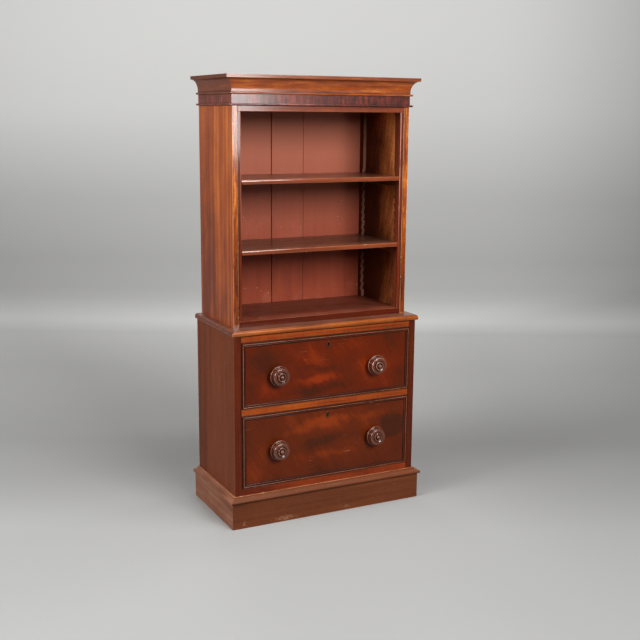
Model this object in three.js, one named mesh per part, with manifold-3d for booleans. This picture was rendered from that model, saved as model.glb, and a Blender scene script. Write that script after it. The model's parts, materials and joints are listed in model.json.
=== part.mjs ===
// An open bookcase standing on a chest of two long drawers, in mahogany with a painted pine back.
// Millimetres. Z is up, the front faces -Y, and the cases are centred on X.
// The pieces are laid out with the back at y = 0 and the whole is then centred on Y.

import * as THREE from 'three';
import { mergeVertices } from 'three/addons/utils/BufferGeometryUtils.js';
import Module from 'manifold-3d';

const wasm = await Module();
wasm.setup();

// Chest
const chestWidth = 615;
const chestDepth = 309;
const chestSideThickness = 22.5;
const chestBottomThickness = 20;
const chestTopThickness = 16;
const chestTopProjection = 7;
const chestTopLowerRoundDepth = 3;
const chestTopUpperRoundHeight = 10;
const railDepth = 22;
const topRailHeight = 21.5;
const dividerHeight = 21;
const dustBoardThickness = 12;
const chestBackThickness = 10;
const chestBackRabbetWidth = 10;

// Plinth
const plinthBlockHeight = 79;
const plinthThickness = 21;
const plinthProjection = 14.5;
const plinthMouldingHeight = 20;
const plinthNoseRadius = 5;
const plinthNoseCentreHeight = 7;
const plinthNoseSetOut = 2.5;
const plinthNoseHalfAngle = 80;
const plinthTopLedge = 6;
const plinthTopFilletHeight = 2.5;
const plinthBackThickness = 18;

// Drawers
const upperDrawerHeight = 198.5;
const lowerDrawerHeight = 224;
const drawerGap = 1;
const drawerSideGap = 0.7;
const runningGap = 0.3;
const drawerFrontThickness = 20;
const drawerSideThickness = 10;
const drawerBackThickness = 10;
const drawerBottomThickness = 6;
const drawerBottomRise = 9;
const drawerGrooveDepth = 4;
const drawerSideDrop = 6;
const drawerBackDrop = 12;
const drawerRearSpace = 17;
const drawerMouldingWidth = 13;
const drawerOuterBeadWidth = 5;
const drawerOuterBeadHeight = 4.5;
const drawerInnerBeadWidth = 5;
const drawerInnerBeadHeight = 3;
const drawerMouldingFloor = 1;

// Knobs, turned in one piece with the spigot that is glued into the drawer front
const knobProjection = 42;
const knobRimRadius = 31;
const knobRimHeight = 15;
const knobRimThickness = 4.5;
const knobFootRadius = 15;
const knobFootHeight = 3;
const knobNeckRadius = 11.5;
const knobNeckHeight = 8;
const knobGrooveRadius = 25.5;
const knobShoulderRadius = 27;
const knobShoulderHeight = 26;
const knobFaceRadius = 21.5;
const knobFaceHeight = 35;
const knobRingRadius = 12.5;
const knobRingHeight = 36.5;
const knobDishHeight = 33;
const knobButtonRadius = 6.5;
const knobButtonHeight = 38;
const knobSpigotRadius = 8;
const knobSpigotLength = 16;
const knobSpacing = 331;
const knobShift = -4;
const upperKnobHeight = 92.5;
const lowerKnobHeight = 109.5;

// Locks and keyholes
const escutcheonWidth = 15;
const escutcheonHeight = 20;
const escutcheonThickness = 1.2;
const keyholeDrop = 25.5;
const keyholeRadius = 2.8;
const keyholeSlotWidth = 2.8;
const keyholeSlotLength = 8;
const lockWidth = 56;
const lockHeight = 42;
const lockThickness = 9.4;
const boltWidth = 17;
const boltThickness = 4.4;
const boltHeight = 15;
const boltTopGap = 0.5;
const boltThrow = 9;
const boltMortiseGap = 1;

// Upper case
const caseWidth = 583;
const caseDepth = 268;
const caseSideThickness = 17;
const caseBottomThickness = 17.5;
const caseTopThickness = 16;
const caseOpeningHeight = 606.5;
const caseBackThickness = 10;
const caseBackRabbetWidth = 8;
const backCentreBoardWidth = 110;
const backCentreBoardShift = 2;
const backJointLeft = 4;
const backJointRight = 0.8;
const backBoardLap = 6;
const stripWidth = 11;
const stripThickness = 10;
const stripSetBack = 1.5;
const stripRound = 3;

// Shelf racks, bearers and shelves
const rackThickness = 10;
const rackWidth = 24;
const rackNotchDepth = 9;
const rackPitch = 25.6;
const rackNotches = 16;
const rackFirstLedge = 22;
const bearerHeight = 20;
const notchesBelowUpperBearer = 14;
const notchesBelowLowerBearer = 6;
const shelfThickness = 12.5;
const shelfFrontSetBack = 2;
const shelfFrontRound = 5;
const shelfGap = 1.2;

// Frieze and cornice
const friezeHeight = 32;
const friezeProjection = 1;
const friezeThickness = 20;
const beadHeight = 6;
const beadProjection = 7.5;
const corniceHeight = 54;
const corniceProjection = 24;
const corniceFilletHeight = 10;
const corniceFilletStep = 2;
const corniceCoveFoot = 5;
const corniceCoveSetOut = 1;
const dustTopThickness = 8;
const dustTopRabbetDepth = 10;
const dustTopRabbetWidth = 10;
const mouldingBack = 20;

// How round the curves are drawn and how far a cutter runs past what it cuts
const arcSteps = 8;
const knobArcSteps = 4;
const knobSegments = 24;
const cutOverrun = 2;

// Heights above the floor, from the plinth to the cornice
const chestFootZ = plinthBlockHeight;
const chestBottomZ = plinthBlockHeight + plinthMouldingHeight;
const lowerSeatZ = chestBottomZ + chestBottomThickness;
const lowerDrawerZ = lowerSeatZ + drawerGap;
const dividerZ = lowerDrawerZ + lowerDrawerHeight + drawerGap;
const upperSeatZ = dividerZ + dividerHeight;
const upperDrawerZ = upperSeatZ + drawerGap;
const topRailZ = upperDrawerZ + upperDrawerHeight + drawerGap;
const chestTopZ = topRailZ + topRailHeight;
const caseFootZ = chestTopZ + chestTopThickness;
const caseFloorZ = caseFootZ + caseBottomThickness;
const caseCeilingZ = caseFloorZ + caseOpeningHeight;
const friezeZ = caseCeilingZ + caseTopThickness;
const corniceZ = friezeZ + friezeHeight;
const topZ = corniceZ + corniceHeight;

// Half widths and other places that several pieces share
const chestHalf = chestWidth / 2;
const chestInner = chestHalf - chestSideThickness;
const caseHalf = caseWidth / 2;
const caseInner = caseHalf - caseSideThickness;
const openingHalf = caseInner - stripWidth;
const rackInner = caseInner - rackThickness;
const frontRackY = -(caseDepth - stripSetBack - stripThickness);
const backRackY = -caseBackThickness;
const friezeHalf = caseHalf + friezeProjection;
const friezeDepth = caseDepth + friezeProjection;
const drawerHalf = chestInner - drawerSideGap;
const drawerBackFaceY = -(chestDepth - drawerFrontThickness);
const drawerRearY = -(chestBackThickness + drawerRearSpace);
const lockPocketDepth = lockThickness + 2 * runningGap;

function finish(color, roughness, metalness = 0) {
  return () => new THREE.MeshStandardMaterial({ color, roughness, metalness });
}
const mahogany = finish(0x8a4423, 0.35);
const darkMahogany = finish(0x5a2418, 0.35);
const flameMahogany = finish(0x6b2614, 0.3);
const orangeMahogany = finish(0xa05a28, 0.35);
const crossbandVeneer = finish(0x5b2b2b, 0.35);
const paintedPine = finish(0x96503f, 0.7);
const pine = finish(0xb98f5e, 0.7);
const ebonisedKnob = finish(0x4a2018, 0.25);
const brass = finish(0x8c7440, 0.4, 0.9);
const iron = finish(0x4a4642, 0.5, 0.9);

const model = new THREE.Group();
model.position.y = (chestDepth + knobProjection) / 2;

function addPiece(name, geometry, makeMaterial) {
  const mesh = new THREE.Mesh(geometry, makeMaterial());
  mesh.name = name;
  model.add(mesh);
}

// A box between two corners
function box(x0, x1, y0, y1, z0, z1) {
  const geometry = new THREE.BoxGeometry(x1 - x0, y1 - y0, z1 - z0);
  geometry.translate((x0 + x1) / 2, (y0 + y1) / 2, (z0 + z1) / 2);
  return geometry;
}

function extruded(points, depth) {
  const shape = new THREE.Shape(points.map(([a, b]) => new THREE.Vector2(a, b)));
  return new THREE.ExtrudeGeometry(shape, { depth, bevelEnabled: false });
}

// An outline in X and Y raised from one height to another
function raised(points, z0, z1) {
  return extruded(points, z1 - z0).translate(0, 0, z0);
}

// An outline in Y and Z run along X
function runAlongX(points, x0, x1) {
  const turn = new THREE.Matrix4().makeBasis(
    new THREE.Vector3(0, 1, 0),
    new THREE.Vector3(0, 0, 1),
    new THREE.Vector3(1, 0, 0),
  );
  return extruded(points, x1 - x0).applyMatrix4(turn).translate(x0, 0, 0);
}

// An outline in X and Z run back along Y
function runAlongY(points, y0, y1) {
  const turn = new THREE.Matrix4().makeBasis(
    new THREE.Vector3(1, 0, 0),
    new THREE.Vector3(0, 0, 1),
    new THREE.Vector3(0, -1, 0),
  );
  return extruded(points, y1 - y0).applyMatrix4(turn).translate(0, y1, 0);
}

// The points of an elliptical arc between two angles in degrees
function arc(cx, cy, rx, ry, from, to, steps = arcSteps) {
  const points = [];
  for (let i = 0; i <= steps; i += 1) {
    const angle = THREE.MathUtils.degToRad(from + ((to - from) * i) / steps);
    points.push([cx + rx * Math.cos(angle), cy + ry * Math.sin(angle)]);
  }
  return points;
}

function toSolid(geometry) {
  const bare = geometry.clone();
  bare.deleteAttribute('normal');
  bare.deleteAttribute('uv');
  const merged = mergeVertices(bare);
  return new wasm.Manifold(new wasm.Mesh({
    numProp: 3,
    vertProperties: new Float32Array(merged.attributes.position.array),
    triVerts: new Uint32Array(merged.index.array),
  }));
}

function toGeometry(solid) {
  const mesh = solid.getMesh();
  const geometry = new THREE.BufferGeometry();
  geometry.setAttribute('position', new THREE.BufferAttribute(mesh.vertProperties, 3));
  geometry.setIndex(new THREE.BufferAttribute(mesh.triVerts, 1));
  geometry.computeVertexNormals();
  return geometry;
}

function cut(geometry, ...cutters) {
  const solid = cutters.reduce((body, cutter) => body.subtract(toSolid(cutter)), toSolid(geometry));
  return toGeometry(solid);
}

function joined(...parts) {
  return toGeometry(parts.map(toSolid).reduce((body, part) => body.add(part)));
}

function common(first, second) {
  return toGeometry(toSolid(first).intersect(toSolid(second)));
}

// Turns a geometry's triangles over when its faces point inwards
function facingOut(geometry) {
  const position = geometry.attributes.position;
  const corners = [new THREE.Vector3(), new THREE.Vector3(), new THREE.Vector3()];
  let volume = 0;
  for (let i = 0; i < position.count; i += 3) {
    corners.forEach((corner, k) => corner.fromBufferAttribute(position, i + k));
    volume += corners[0].dot(corners[1].clone().cross(corners[2]));
  }
  if (volume > 0) return geometry;
  const array = position.array;
  for (let i = 0; i < array.length; i += 9) {
    for (let k = 0; k < 3; k += 1) {
      [array[i + 3 + k], array[i + 6 + k]] = [array[i + 6 + k], array[i + 3 + k]];
    }
  }
  return geometry;
}

// A profile of [outward, height] points run round a case, mitred at the front corners.
// Outward is measured from a face at half the case's width and at its depth.
function mitredRun(profile, half, depth, side) {
  const geometry = extruded(profile, 1);
  const position = geometry.attributes.position;
  for (let i = 0; i < position.count; i += 1) {
    const outward = position.getX(i);
    const z = position.getY(i);
    const far = position.getZ(i) > 0;
    const cornerX = half + outward;
    const cornerY = -(depth + outward);
    if (side === 'front') position.setXYZ(i, far ? cornerX : -cornerX, cornerY, z);
    if (side === 'left') position.setXYZ(i, -cornerX, far ? 0 : cornerY, z);
    if (side === 'right') position.setXYZ(i, cornerX, far ? 0 : cornerY, z);
  }
  return facingOut(geometry);
}

function addMitredRuns(name, profile, half, depth, makeMaterial) {
  for (const side of ['front', 'left', 'right']) {
    addPiece(`${name}_${side}`, mitredRun(profile, half, depth, side), makeMaterial);
  }
}

// One upright side with a rabbet at its back edge for the back boards
function sidePanel(inner, outer, depth, rabbetWidth, rabbetDepth, z0, z1, hand) {
  const outline = [
    [inner, -depth],
    [outer, -depth],
    [outer, 0],
    [inner + rabbetWidth, 0],
    [inner + rabbetWidth, -rabbetDepth],
    [inner, -rabbetDepth],
  ];
  const placed = outline.map(([x, y]) => [hand * x, y]);
  return raised(hand > 0 ? placed : placed.reverse(), z0, z1);
}

const hands = [['left', -1], ['right', 1]];

// Plinth
function plinthProfile() {
  const nose = arc(
    plinthNoseSetOut, plinthBlockHeight + plinthNoseCentreHeight,
    plinthNoseRadius, plinthNoseRadius, -plinthNoseHalfAngle, plinthNoseHalfAngle,
  );
  const ledge = -plinthProjection + plinthTopLedge;
  const hollowTop = chestBottomZ - plinthTopFilletHeight;
  const hollowFoot = nose[nose.length - 1][1];
  const hollowRun = nose[nose.length - 1][0] - ledge;
  const hollow = arc(nose[nose.length - 1][0], hollowTop, hollowRun, hollowTop - hollowFoot, 270, 180);
  return [
    [-plinthThickness, 0],
    [0, 0],
    [0, plinthBlockHeight],
    ...nose,
    ...hollow.slice(1),
    [ledge, chestBottomZ],
    [-plinthProjection, chestBottomZ],
    [-plinthProjection, chestFootZ],
    [-plinthThickness, chestFootZ],
  ];
}

function addPlinth() {
  const half = chestHalf + plinthProjection;
  const depth = chestDepth + plinthProjection;
  addMitredRuns('plinth', plinthProfile(), half, depth, mahogany);
  const inner = half - plinthThickness;
  addPiece('plinth_back', box(-inner, inner, -plinthBackThickness, 0, 0, chestFootZ), pine);
}

// Chest carcass
function chestTopEdge() {
  const upperRun = chestTopThickness - chestTopLowerRoundDepth;
  const upperRound = Math.min(chestTopUpperRoundHeight, upperRun);
  const lower = arc(
    chestTopProjection - chestTopLowerRoundDepth, chestTopZ + chestTopLowerRoundDepth,
    chestTopLowerRoundDepth, chestTopLowerRoundDepth, -90, 0,
  );
  const upper = arc(
    0, caseFootZ - upperRound, chestTopProjection, upperRound, 0, 90,
  );
  return [...lower, ...upper];
}

// The top is worked to the same rounded edge along its front and both ends
function chestTop() {
  const edge = chestTopEdge();
  const front = edge.map(([out, z]) => [-(chestDepth + out), z]).reverse();
  const alongX = runAlongX(
    [...front, [0, chestTopZ], [0, caseFootZ]],
    -(chestHalf + chestTopProjection), chestHalf + chestTopProjection,
  );
  const right = edge.map(([out, z]) => [chestHalf + out, z]);
  const left = edge.map(([out, z]) => [-(chestHalf + out), z]).reverse();
  const alongY = runAlongY([...right, ...left], -(chestDepth + chestTopProjection), 0);
  return common(alongX, alongY);
}

function boltMortise(z) {
  const halfWidth = boltWidth / 2 + boltMortiseGap;
  const halfThickness = boltThickness / 2 + boltMortiseGap;
  const y = lockCentreY();
  return box(
    -halfWidth, halfWidth, y - halfThickness, y + halfThickness,
    z - cutOverrun, z + boltThrow + boltMortiseGap,
  );
}

// A rail across the front, with a mortise in its foot for the bolt of the drawer below
function frontRail(z0, z1) {
  return cut(box(-chestInner, chestInner, -chestDepth, -chestDepth + railDepth, z0, z1), boltMortise(z0));
}

function addChest() {
  for (const [hand, sign] of hands) {
    const panel = sidePanel(
      chestInner, chestHalf, chestDepth, chestBackRabbetWidth, chestBackThickness,
      chestFootZ, chestTopZ, sign,
    );
    addPiece(`chest_side_${hand}`, panel, darkMahogany);
  }
  const backHalf = chestInner + chestBackRabbetWidth - runningGap;
  addPiece('chest_back', box(-backHalf, backHalf, -chestBackThickness, 0, chestFootZ, chestTopZ), pine);
  addPiece('chest_top', chestTop(), orangeMahogany);
  const bottom = box(-chestInner, chestInner, -chestDepth, -chestBackThickness, chestBottomZ, lowerSeatZ);
  addPiece('chest_bottom_board', bottom, mahogany);
  addPiece('drawer_divider_rail', frontRail(dividerZ, upperSeatZ), orangeMahogany);
  addPiece('chest_top_rail', frontRail(topRailZ, chestTopZ), mahogany);
  const dustBoard = box(
    -chestInner, chestInner, -chestDepth + railDepth, -chestBackThickness,
    upperSeatZ - dustBoardThickness, upperSeatZ,
  );
  addPiece('dust_board', dustBoard, pine);
}

// Drawers
function lockCentreY() {
  return drawerBackFaceY - lockPocketDepth / 2;
}

// A keyhole's outline: a round head over a straight slot
function keyholePath(shapeClass, x, z) {
  const path = new shapeClass();
  const halfSlot = keyholeSlotWidth / 2;
  const meet = Math.asin(halfSlot / keyholeRadius);
  const start = -Math.PI / 2 + meet;
  path.absarc(x, z, keyholeRadius, start, start + 2 * (Math.PI - meet), false);
  path.lineTo(x - halfSlot, z - keyholeSlotLength);
  path.lineTo(x + halfSlot, z - keyholeSlotLength);
  path.closePath();
  return path;
}

function standing(shape, yFront, yBack) {
  const geometry = new THREE.ExtrudeGeometry(shape, {
    depth: yBack - yFront, bevelEnabled: false, curveSegments: arcSteps,
  });
  return geometry.rotateX(Math.PI / 2).translate(0, yBack, 0);
}

// An oval plate centred on the keyhole's height
function escutcheon(z) {
  const plate = new THREE.Shape();
  const centre = z + (keyholeRadius - keyholeSlotLength) / 2;
  plate.absellipse(0, centre, escutcheonWidth / 2, escutcheonHeight / 2, 0, 2 * Math.PI);
  plate.holes.push(keyholePath(THREE.Path, 0, z));
  return standing(plate, -chestDepth - escutcheonThickness, -chestDepth);
}

function knobHole(x, z) {
  const radius = knobSpigotRadius + runningGap;
  const length = drawerFrontThickness + 2 * cutOverrun;
  const hole = new THREE.CylinderGeometry(radius, radius, length, knobSegments);
  return hole.translate(x, -chestDepth + drawerFrontThickness / 2, z);
}

function knobPlaces() {
  return [knobShift - knobSpacing / 2, knobShift + knobSpacing / 2];
}

function drawerBottomLevel(z0) {
  return z0 - drawerGap + runningGap + drawerBottomRise;
}

// The front has a pocket for the lock, a keyway, a groove for the bottom panel and two knob holes
function drawerFront(z0, height, knobZ) {
  const z1 = z0 + height;
  const blank = box(-drawerHalf, drawerHalf, -chestDepth, drawerBackFaceY, z0, z1);
  const pocketHalf = lockWidth / 2 + runningGap;
  const pocket = box(
    -pocketHalf, pocketHalf, drawerBackFaceY - lockPocketDepth, drawerBackFaceY + cutOverrun,
    z1 - lockHeight - runningGap, z1 + cutOverrun,
  );
  const keyway = standing(
    keyholePath(THREE.Shape, 0, z1 - keyholeDrop), -chestDepth - cutOverrun, drawerBackFaceY - cutOverrun,
  );
  const grooveZ = drawerBottomLevel(z0);
  const grooveHalf = drawerHalf - drawerSideThickness + drawerGrooveDepth;
  const groove = box(
    -grooveHalf, grooveHalf, drawerBackFaceY - drawerGrooveDepth, drawerBackFaceY + cutOverrun,
    grooveZ, grooveZ + drawerBottomThickness + runningGap,
  );
  const holes = knobPlaces().map((x) => knobHole(x, knobZ));
  return cut(blank, pocket, keyway, groove, ...holes);
}

// The outline of a drawer side in X and Z, with the groove that holds the bottom panel
function drawerSide(z0, height, sign) {
  const foot = z0 - drawerGap + runningGap;
  const head = z0 + height - drawerSideDrop;
  const groove = drawerBottomLevel(z0);
  const grooveTop = groove + drawerBottomThickness + runningGap;
  const inner = drawerHalf - drawerSideThickness;
  const outline = [
    [inner, foot],
    [drawerHalf, foot],
    [drawerHalf, head],
    [inner, head],
    [inner, grooveTop],
    [inner + drawerGrooveDepth, grooveTop],
    [inner + drawerGrooveDepth, groove],
    [inner, groove],
  ];
  const placed = outline.map(([x, z]) => [sign * x, z]);
  return runAlongY(sign > 0 ? placed : placed.reverse(), drawerBackFaceY, drawerRearY);
}

// The raised moulding round a drawer front: an outer bead, a quirk and an inner bead.
// Its profile gives the distance in from the edge and the height proud of the front.
function drawerMouldingProfile() {
  const outer = arc(
    drawerOuterBeadWidth / 2, drawerMouldingFloor,
    drawerOuterBeadWidth / 2, drawerOuterBeadHeight - drawerMouldingFloor, 180, 0,
  );
  const inner = arc(
    drawerMouldingWidth - drawerInnerBeadWidth / 2, drawerMouldingFloor,
    drawerInnerBeadWidth / 2, drawerInnerBeadHeight - drawerMouldingFloor, 180, 0,
  );
  return [[0, 0], ...outer, ...inner, [drawerMouldingWidth, 0]];
}

function drawerMoulding(z0, height) {
  const profile = drawerMouldingProfile();
  const middle = z0 + height / 2;
  const strip = (long, short, upright) => (sign) => {
    const geometry = extruded(profile, 1);
    const position = geometry.attributes.position;
    for (let i = 0; i < position.count; i += 1) {
      const inward = position.getX(i);
      const y = -chestDepth - position.getY(i);
      const along = (position.getZ(i) > 0 ? 1 : -1) * (long - inward);
      const across = sign * (short - inward);
      const x = upright ? across : along;
      position.setXYZ(i, x, y, middle + (upright ? along : across));
    }
    return facingOut(geometry);
  };
  const flat = strip(drawerHalf, height / 2, false);
  const upright = strip(height / 2, drawerHalf, true);
  return joined(flat(1), upright(1), flat(-1), upright(-1));
}

// A knob's half outline as [radius, height from the drawer front], from the spigot's end to the tip
function knobProfile() {
  const rimTop = knobRimHeight + knobRimThickness;
  const rim = arc(
    knobRimRadius - knobRimThickness / 2, knobRimHeight + knobRimThickness / 2,
    knobRimThickness / 2, knobRimThickness / 2, -90, 90, knobArcSteps,
  );
  const shoulder = arc(
    knobFaceRadius, knobShoulderHeight,
    knobShoulderRadius - knobFaceRadius, knobFaceHeight - knobShoulderHeight, 0, 90, knobArcSteps,
  );
  const dish = arc(
    (knobFaceRadius + knobRingRadius) / 2, knobFaceHeight,
    (knobFaceRadius - knobRingRadius) / 2, knobFaceHeight - knobDishHeight, 0, -180, knobArcSteps,
  );
  const button = arc(
    0, knobButtonHeight, knobButtonRadius, knobProjection - knobButtonHeight, 0, 90, knobArcSteps,
  );
  return [
    [0, -knobSpigotLength],
    [knobSpigotRadius, -knobSpigotLength],
    [knobSpigotRadius, 0],
    [knobFootRadius, 0],
    [knobFootRadius, knobFootHeight],
    [knobNeckRadius, knobNeckHeight],
    ...rim,
    [knobGrooveRadius, rimTop],
    [knobShoulderRadius, (rimTop + knobShoulderHeight) / 2],
    ...shoulder,
    ...dish.slice(1),
    [knobRingRadius, knobRingHeight],
    [knobButtonRadius, knobRingHeight],
    ...button.slice(0, -1),
    [0, knobProjection],
  ];
}

function knob(x, z) {
  const profile = knobProfile().map(([radius, height]) => new THREE.Vector2(radius, height));
  const geometry = new THREE.LatheGeometry(profile, knobSegments);
  return geometry.rotateX(Math.PI).translate(x, -chestDepth, z);
}

function addLock(name, z1) {
  const y = lockCentreY();
  const half = lockWidth / 2;
  const boltTop = z1 - boltTopGap;
  const boltFoot = boltTop - boltHeight;
  const caseBlock = box(-half, half, y - lockThickness / 2, y + lockThickness / 2, z1 - lockHeight, z1);
  const slotHalf = boltWidth / 2 + runningGap;
  const slotDepth = boltThickness / 2 + runningGap;
  const slot = box(-slotHalf, slotHalf, y - slotDepth, y + slotDepth, boltFoot, z1 + cutOverrun);
  addPiece(`${name}_lock_case`, cut(caseBlock, slot), iron);
  const bolt = box(
    -boltWidth / 2, boltWidth / 2, y - boltThickness / 2, y + boltThickness / 2, boltFoot, boltTop,
  );
  addPiece(`${name}_lock_bolt`, bolt, brass);
}

function addDrawer(name, z0, height, knobHeight) {
  const knobZ = z0 + knobHeight;
  const inner = drawerHalf - drawerSideThickness;
  addPiece(`${name}_front`, drawerFront(z0, height, knobZ), flameMahogany);
  addPiece(`${name}_moulding`, drawerMoulding(z0, height), darkMahogany);
  for (const [hand, sign] of hands) {
    addPiece(`${name}_side_${hand}`, drawerSide(z0, height, sign), pine);
  }
  const panel = drawerBottomLevel(z0);
  const panelTop = panel + drawerBottomThickness;
  const panelHalf = inner + drawerGrooveDepth - runningGap;
  const bottom = box(
    -panelHalf, panelHalf, drawerBackFaceY - drawerGrooveDepth + runningGap, drawerRearY, panel, panelTop,
  );
  addPiece(`${name}_bottom`, bottom, pine);
  const back = box(
    -inner, inner, drawerRearY - drawerBackThickness, drawerRearY,
    panelTop, z0 + height - drawerBackDrop,
  );
  addPiece(`${name}_back`, back, pine);
  knobPlaces().forEach((x, i) => {
    addPiece(`${name}_knob_${hands[i][0]}`, knob(x, knobZ), ebonisedKnob);
  });
  addPiece(`${name}_escutcheon`, escutcheon(z0 + height - keyholeDrop), brass);
  addLock(name, z0 + height);
}

// Upper case
function cornerStrip(sign) {
  const front = -(caseDepth - stripSetBack);
  const outline = [
    [caseInner, front],
    [caseInner, frontRackY],
    [openingHalf, frontRackY],
    ...arc(openingHalf + stripRound, front + stripRound, stripRound, stripRound, 180, 270),
  ];
  const placed = outline.map(([x, y]) => [sign * x, y]);
  return raised(sign > 0 ? placed : placed.reverse(), caseFloorZ, caseCeilingZ);
}

// The back boards are halved at their long edges: the middle board's back half laps behind the others
function addBackBoards() {
  const outer = caseInner + caseBackRabbetWidth - runningGap;
  const half = caseBackThickness / 2;
  const left = backCentreBoardShift - backCentreBoardWidth / 2;
  const right = backCentreBoardShift + backCentreBoardWidth / 2;
  const centre = [
    [left, -caseBackThickness],
    [right, -caseBackThickness],
    [right, -half],
    [right + backBoardLap, -half],
    [right + backBoardLap, 0],
    [left - backBoardLap, 0],
    [left - backBoardLap, -half],
    [left, -half],
  ];
  const outerBoard = (edge, joint) => [
    [edge + joint, -caseBackThickness],
    [outer, -caseBackThickness],
    [outer, 0],
    [edge + backBoardLap + runningGap, 0],
    [edge + backBoardLap + runningGap, -half - runningGap],
    [edge + joint, -half - runningGap],
  ];
  const mirrored = outerBoard(-left, backJointLeft).map(([x, y]) => [-x, y]).reverse();
  addPiece('back_board_left', raised(mirrored, caseFootZ, friezeZ), paintedPine);
  addPiece('back_board_centre', raised(centre, caseFootZ, friezeZ), paintedPine);
  addPiece('back_board_right', raised(outerBoard(right, backJointRight), caseFootZ, friezeZ), paintedPine);
}

// The height of a rack's ledge, counted from the lowest
function ledgeZ(notch) {
  return caseFloorZ + rackFirstLedge + notch * rackPitch;
}

// A rack's outline in distance from its plain edge and in height, with ledges that carry a bearer
function rackOutline() {
  const points = [[0, caseFloorZ], [rackWidth, caseFloorZ]];
  for (let i = 0; i < rackNotches; i += 1) {
    const ledge = ledgeZ(i);
    points.push([rackWidth, ledge], [rackWidth - rackNotchDepth, ledge]);
  }
  points.push([rackWidth, ledgeZ(rackNotches)], [rackWidth, caseCeilingZ], [0, caseCeilingZ]);
  return points;
}

function addRacks() {
  for (const [hand, sign] of hands) {
    const [x0, x1] = sign > 0 ? [rackInner, caseInner] : [-caseInner, -rackInner];
    const front = rackOutline().map(([across, z]) => [frontRackY + across, z]);
    const back = rackOutline().map(([across, z]) => [backRackY - across, z]).reverse();
    addPiece(`shelf_rack_front_${hand}`, runAlongX(front, x0, x1), mahogany);
    addPiece(`shelf_rack_back_${hand}`, runAlongX(back, x0, x1), mahogany);
  }
}

// A bearer's ends slope as the racks' notches do, and its foot stands on one ledge of each rack
function bearer(notch, sign) {
  const foot = ledgeZ(notch);
  const head = foot + bearerHeight;
  const root = frontRackY + rackWidth - rackNotchDepth + runningGap;
  const backRoot = backRackY - rackWidth + rackNotchDepth - runningGap;
  const lean = (rackNotchDepth * bearerHeight) / rackPitch;
  const outline = [
    [root, foot],
    [backRoot, foot],
    [backRoot - lean, head],
    [root + lean, head],
  ];
  const [x0, x1] = sign > 0 ? [rackInner, caseInner - runningGap] : [-caseInner + runningGap, -rackInner];
  return runAlongX(outline, x0, x1);
}

// A shelf is notched round the four racks and has a rounded front edge
function shelf(z0) {
  const front = -(caseDepth - shelfFrontSetBack);
  const back = -caseBackThickness - runningGap;
  const narrow = openingHalf - shelfGap;
  const wide = caseInner - shelfGap;
  const wideFront = frontRackY + rackWidth + shelfGap;
  const wideBack = backRackY - rackWidth - shelfGap;
  const right = [
    [narrow, front],
    [narrow, wideFront],
    [wide, wideFront],
    [wide, wideBack],
    [narrow, wideBack],
    [narrow, back],
  ];
  const left = right.map(([x, y]) => [-x, y]).reverse();
  const plan = raised([...right, ...left], z0, z0 + shelfThickness);
  const radius = Math.min(shelfFrontRound, shelfThickness / 2);
  const section = [
    [back + cutOverrun, z0],
    [back + cutOverrun, z0 + shelfThickness],
    ...arc(front + radius, z0 + shelfThickness - radius, radius, radius, 90, 180),
    ...arc(front + radius, z0 + radius, radius, radius, 180, 270),
  ];
  return common(plan, runAlongX(section, -caseInner, caseInner));
}

function addShelf(name, notch) {
  for (const [hand, sign] of hands) {
    addPiece(`${name}_bearer_${hand}`, bearer(notch, sign), mahogany);
  }
  addPiece(name, shelf(ledgeZ(notch) + bearerHeight), mahogany);
}

function addUpperCase() {
  for (const [hand, sign] of hands) {
    const panel = sidePanel(
      caseInner, caseHalf, caseDepth, caseBackRabbetWidth, caseBackThickness, caseFootZ, friezeZ, sign,
    );
    addPiece(`case_side_${hand}`, panel, mahogany);
    addPiece(`corner_strip_${hand}`, cornerStrip(sign), mahogany);
  }
  const board = (z0, z1) => box(-caseInner, caseInner, -caseDepth, -caseBackThickness, z0, z1);
  addPiece('case_bottom_board', board(caseFootZ, caseFloorZ), darkMahogany);
  addPiece('case_top_board', board(caseCeilingZ, friezeZ), mahogany);
  addBackBoards();
  addRacks();
  addShelf('upper_shelf', notchesBelowUpperBearer);
  addShelf('lower_shelf', notchesBelowLowerBearer);
}

// Frieze and cornice
function bead(foot) {
  const radius = beadHeight / 2;
  return arc(beadProjection - radius, foot + radius, radius, radius, -90, 90);
}

function friezeProfile() {
  return [
    [-friezeThickness, friezeZ],
    ...bead(friezeZ),
    [0, friezeZ + beadHeight],
    [0, corniceZ],
    [-friezeThickness, corniceZ],
  ];
}

function corniceProfile() {
  const coveFoot = corniceZ + beadHeight + corniceCoveFoot;
  const coveTop = topZ - corniceFilletHeight;
  const coveReach = corniceProjection - corniceFilletStep;
  const cove = arc(coveReach, coveFoot, coveReach - corniceCoveSetOut, coveTop - coveFoot, 180, 90);
  return [
    [-mouldingBack, corniceZ],
    ...bead(corniceZ),
    [corniceCoveSetOut, corniceZ + beadHeight],
    ...cove,
    [corniceProjection, coveTop],
    [corniceProjection, topZ],
    [dustTopRabbetWidth - mouldingBack, topZ],
    [dustTopRabbetWidth - mouldingBack, topZ - dustTopRabbetDepth],
    [-mouldingBack, topZ - dustTopRabbetDepth],
  ];
}

function addCornice() {
  addMitredRuns('frieze', friezeProfile(), friezeHalf, friezeDepth, crossbandVeneer);
  addMitredRuns('cornice', corniceProfile(), friezeHalf, friezeDepth, orangeMahogany);
  const inset = mouldingBack - dustTopRabbetWidth + runningGap;
  const foot = topZ - dustTopRabbetDepth;
  const dustTop = box(
    -friezeHalf + inset, friezeHalf - inset, -friezeDepth + inset, 0, foot, foot + dustTopThickness,
  );
  addPiece('dust_top_board', dustTop, pine);
}

addPlinth();
addChest();
addDrawer('lower_drawer', lowerDrawerZ, lowerDrawerHeight, lowerKnobHeight);
addDrawer('upper_drawer', upperDrawerZ, upperDrawerHeight, upperKnobHeight);
addUpperCase();
addCornice();

export default model;
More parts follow.
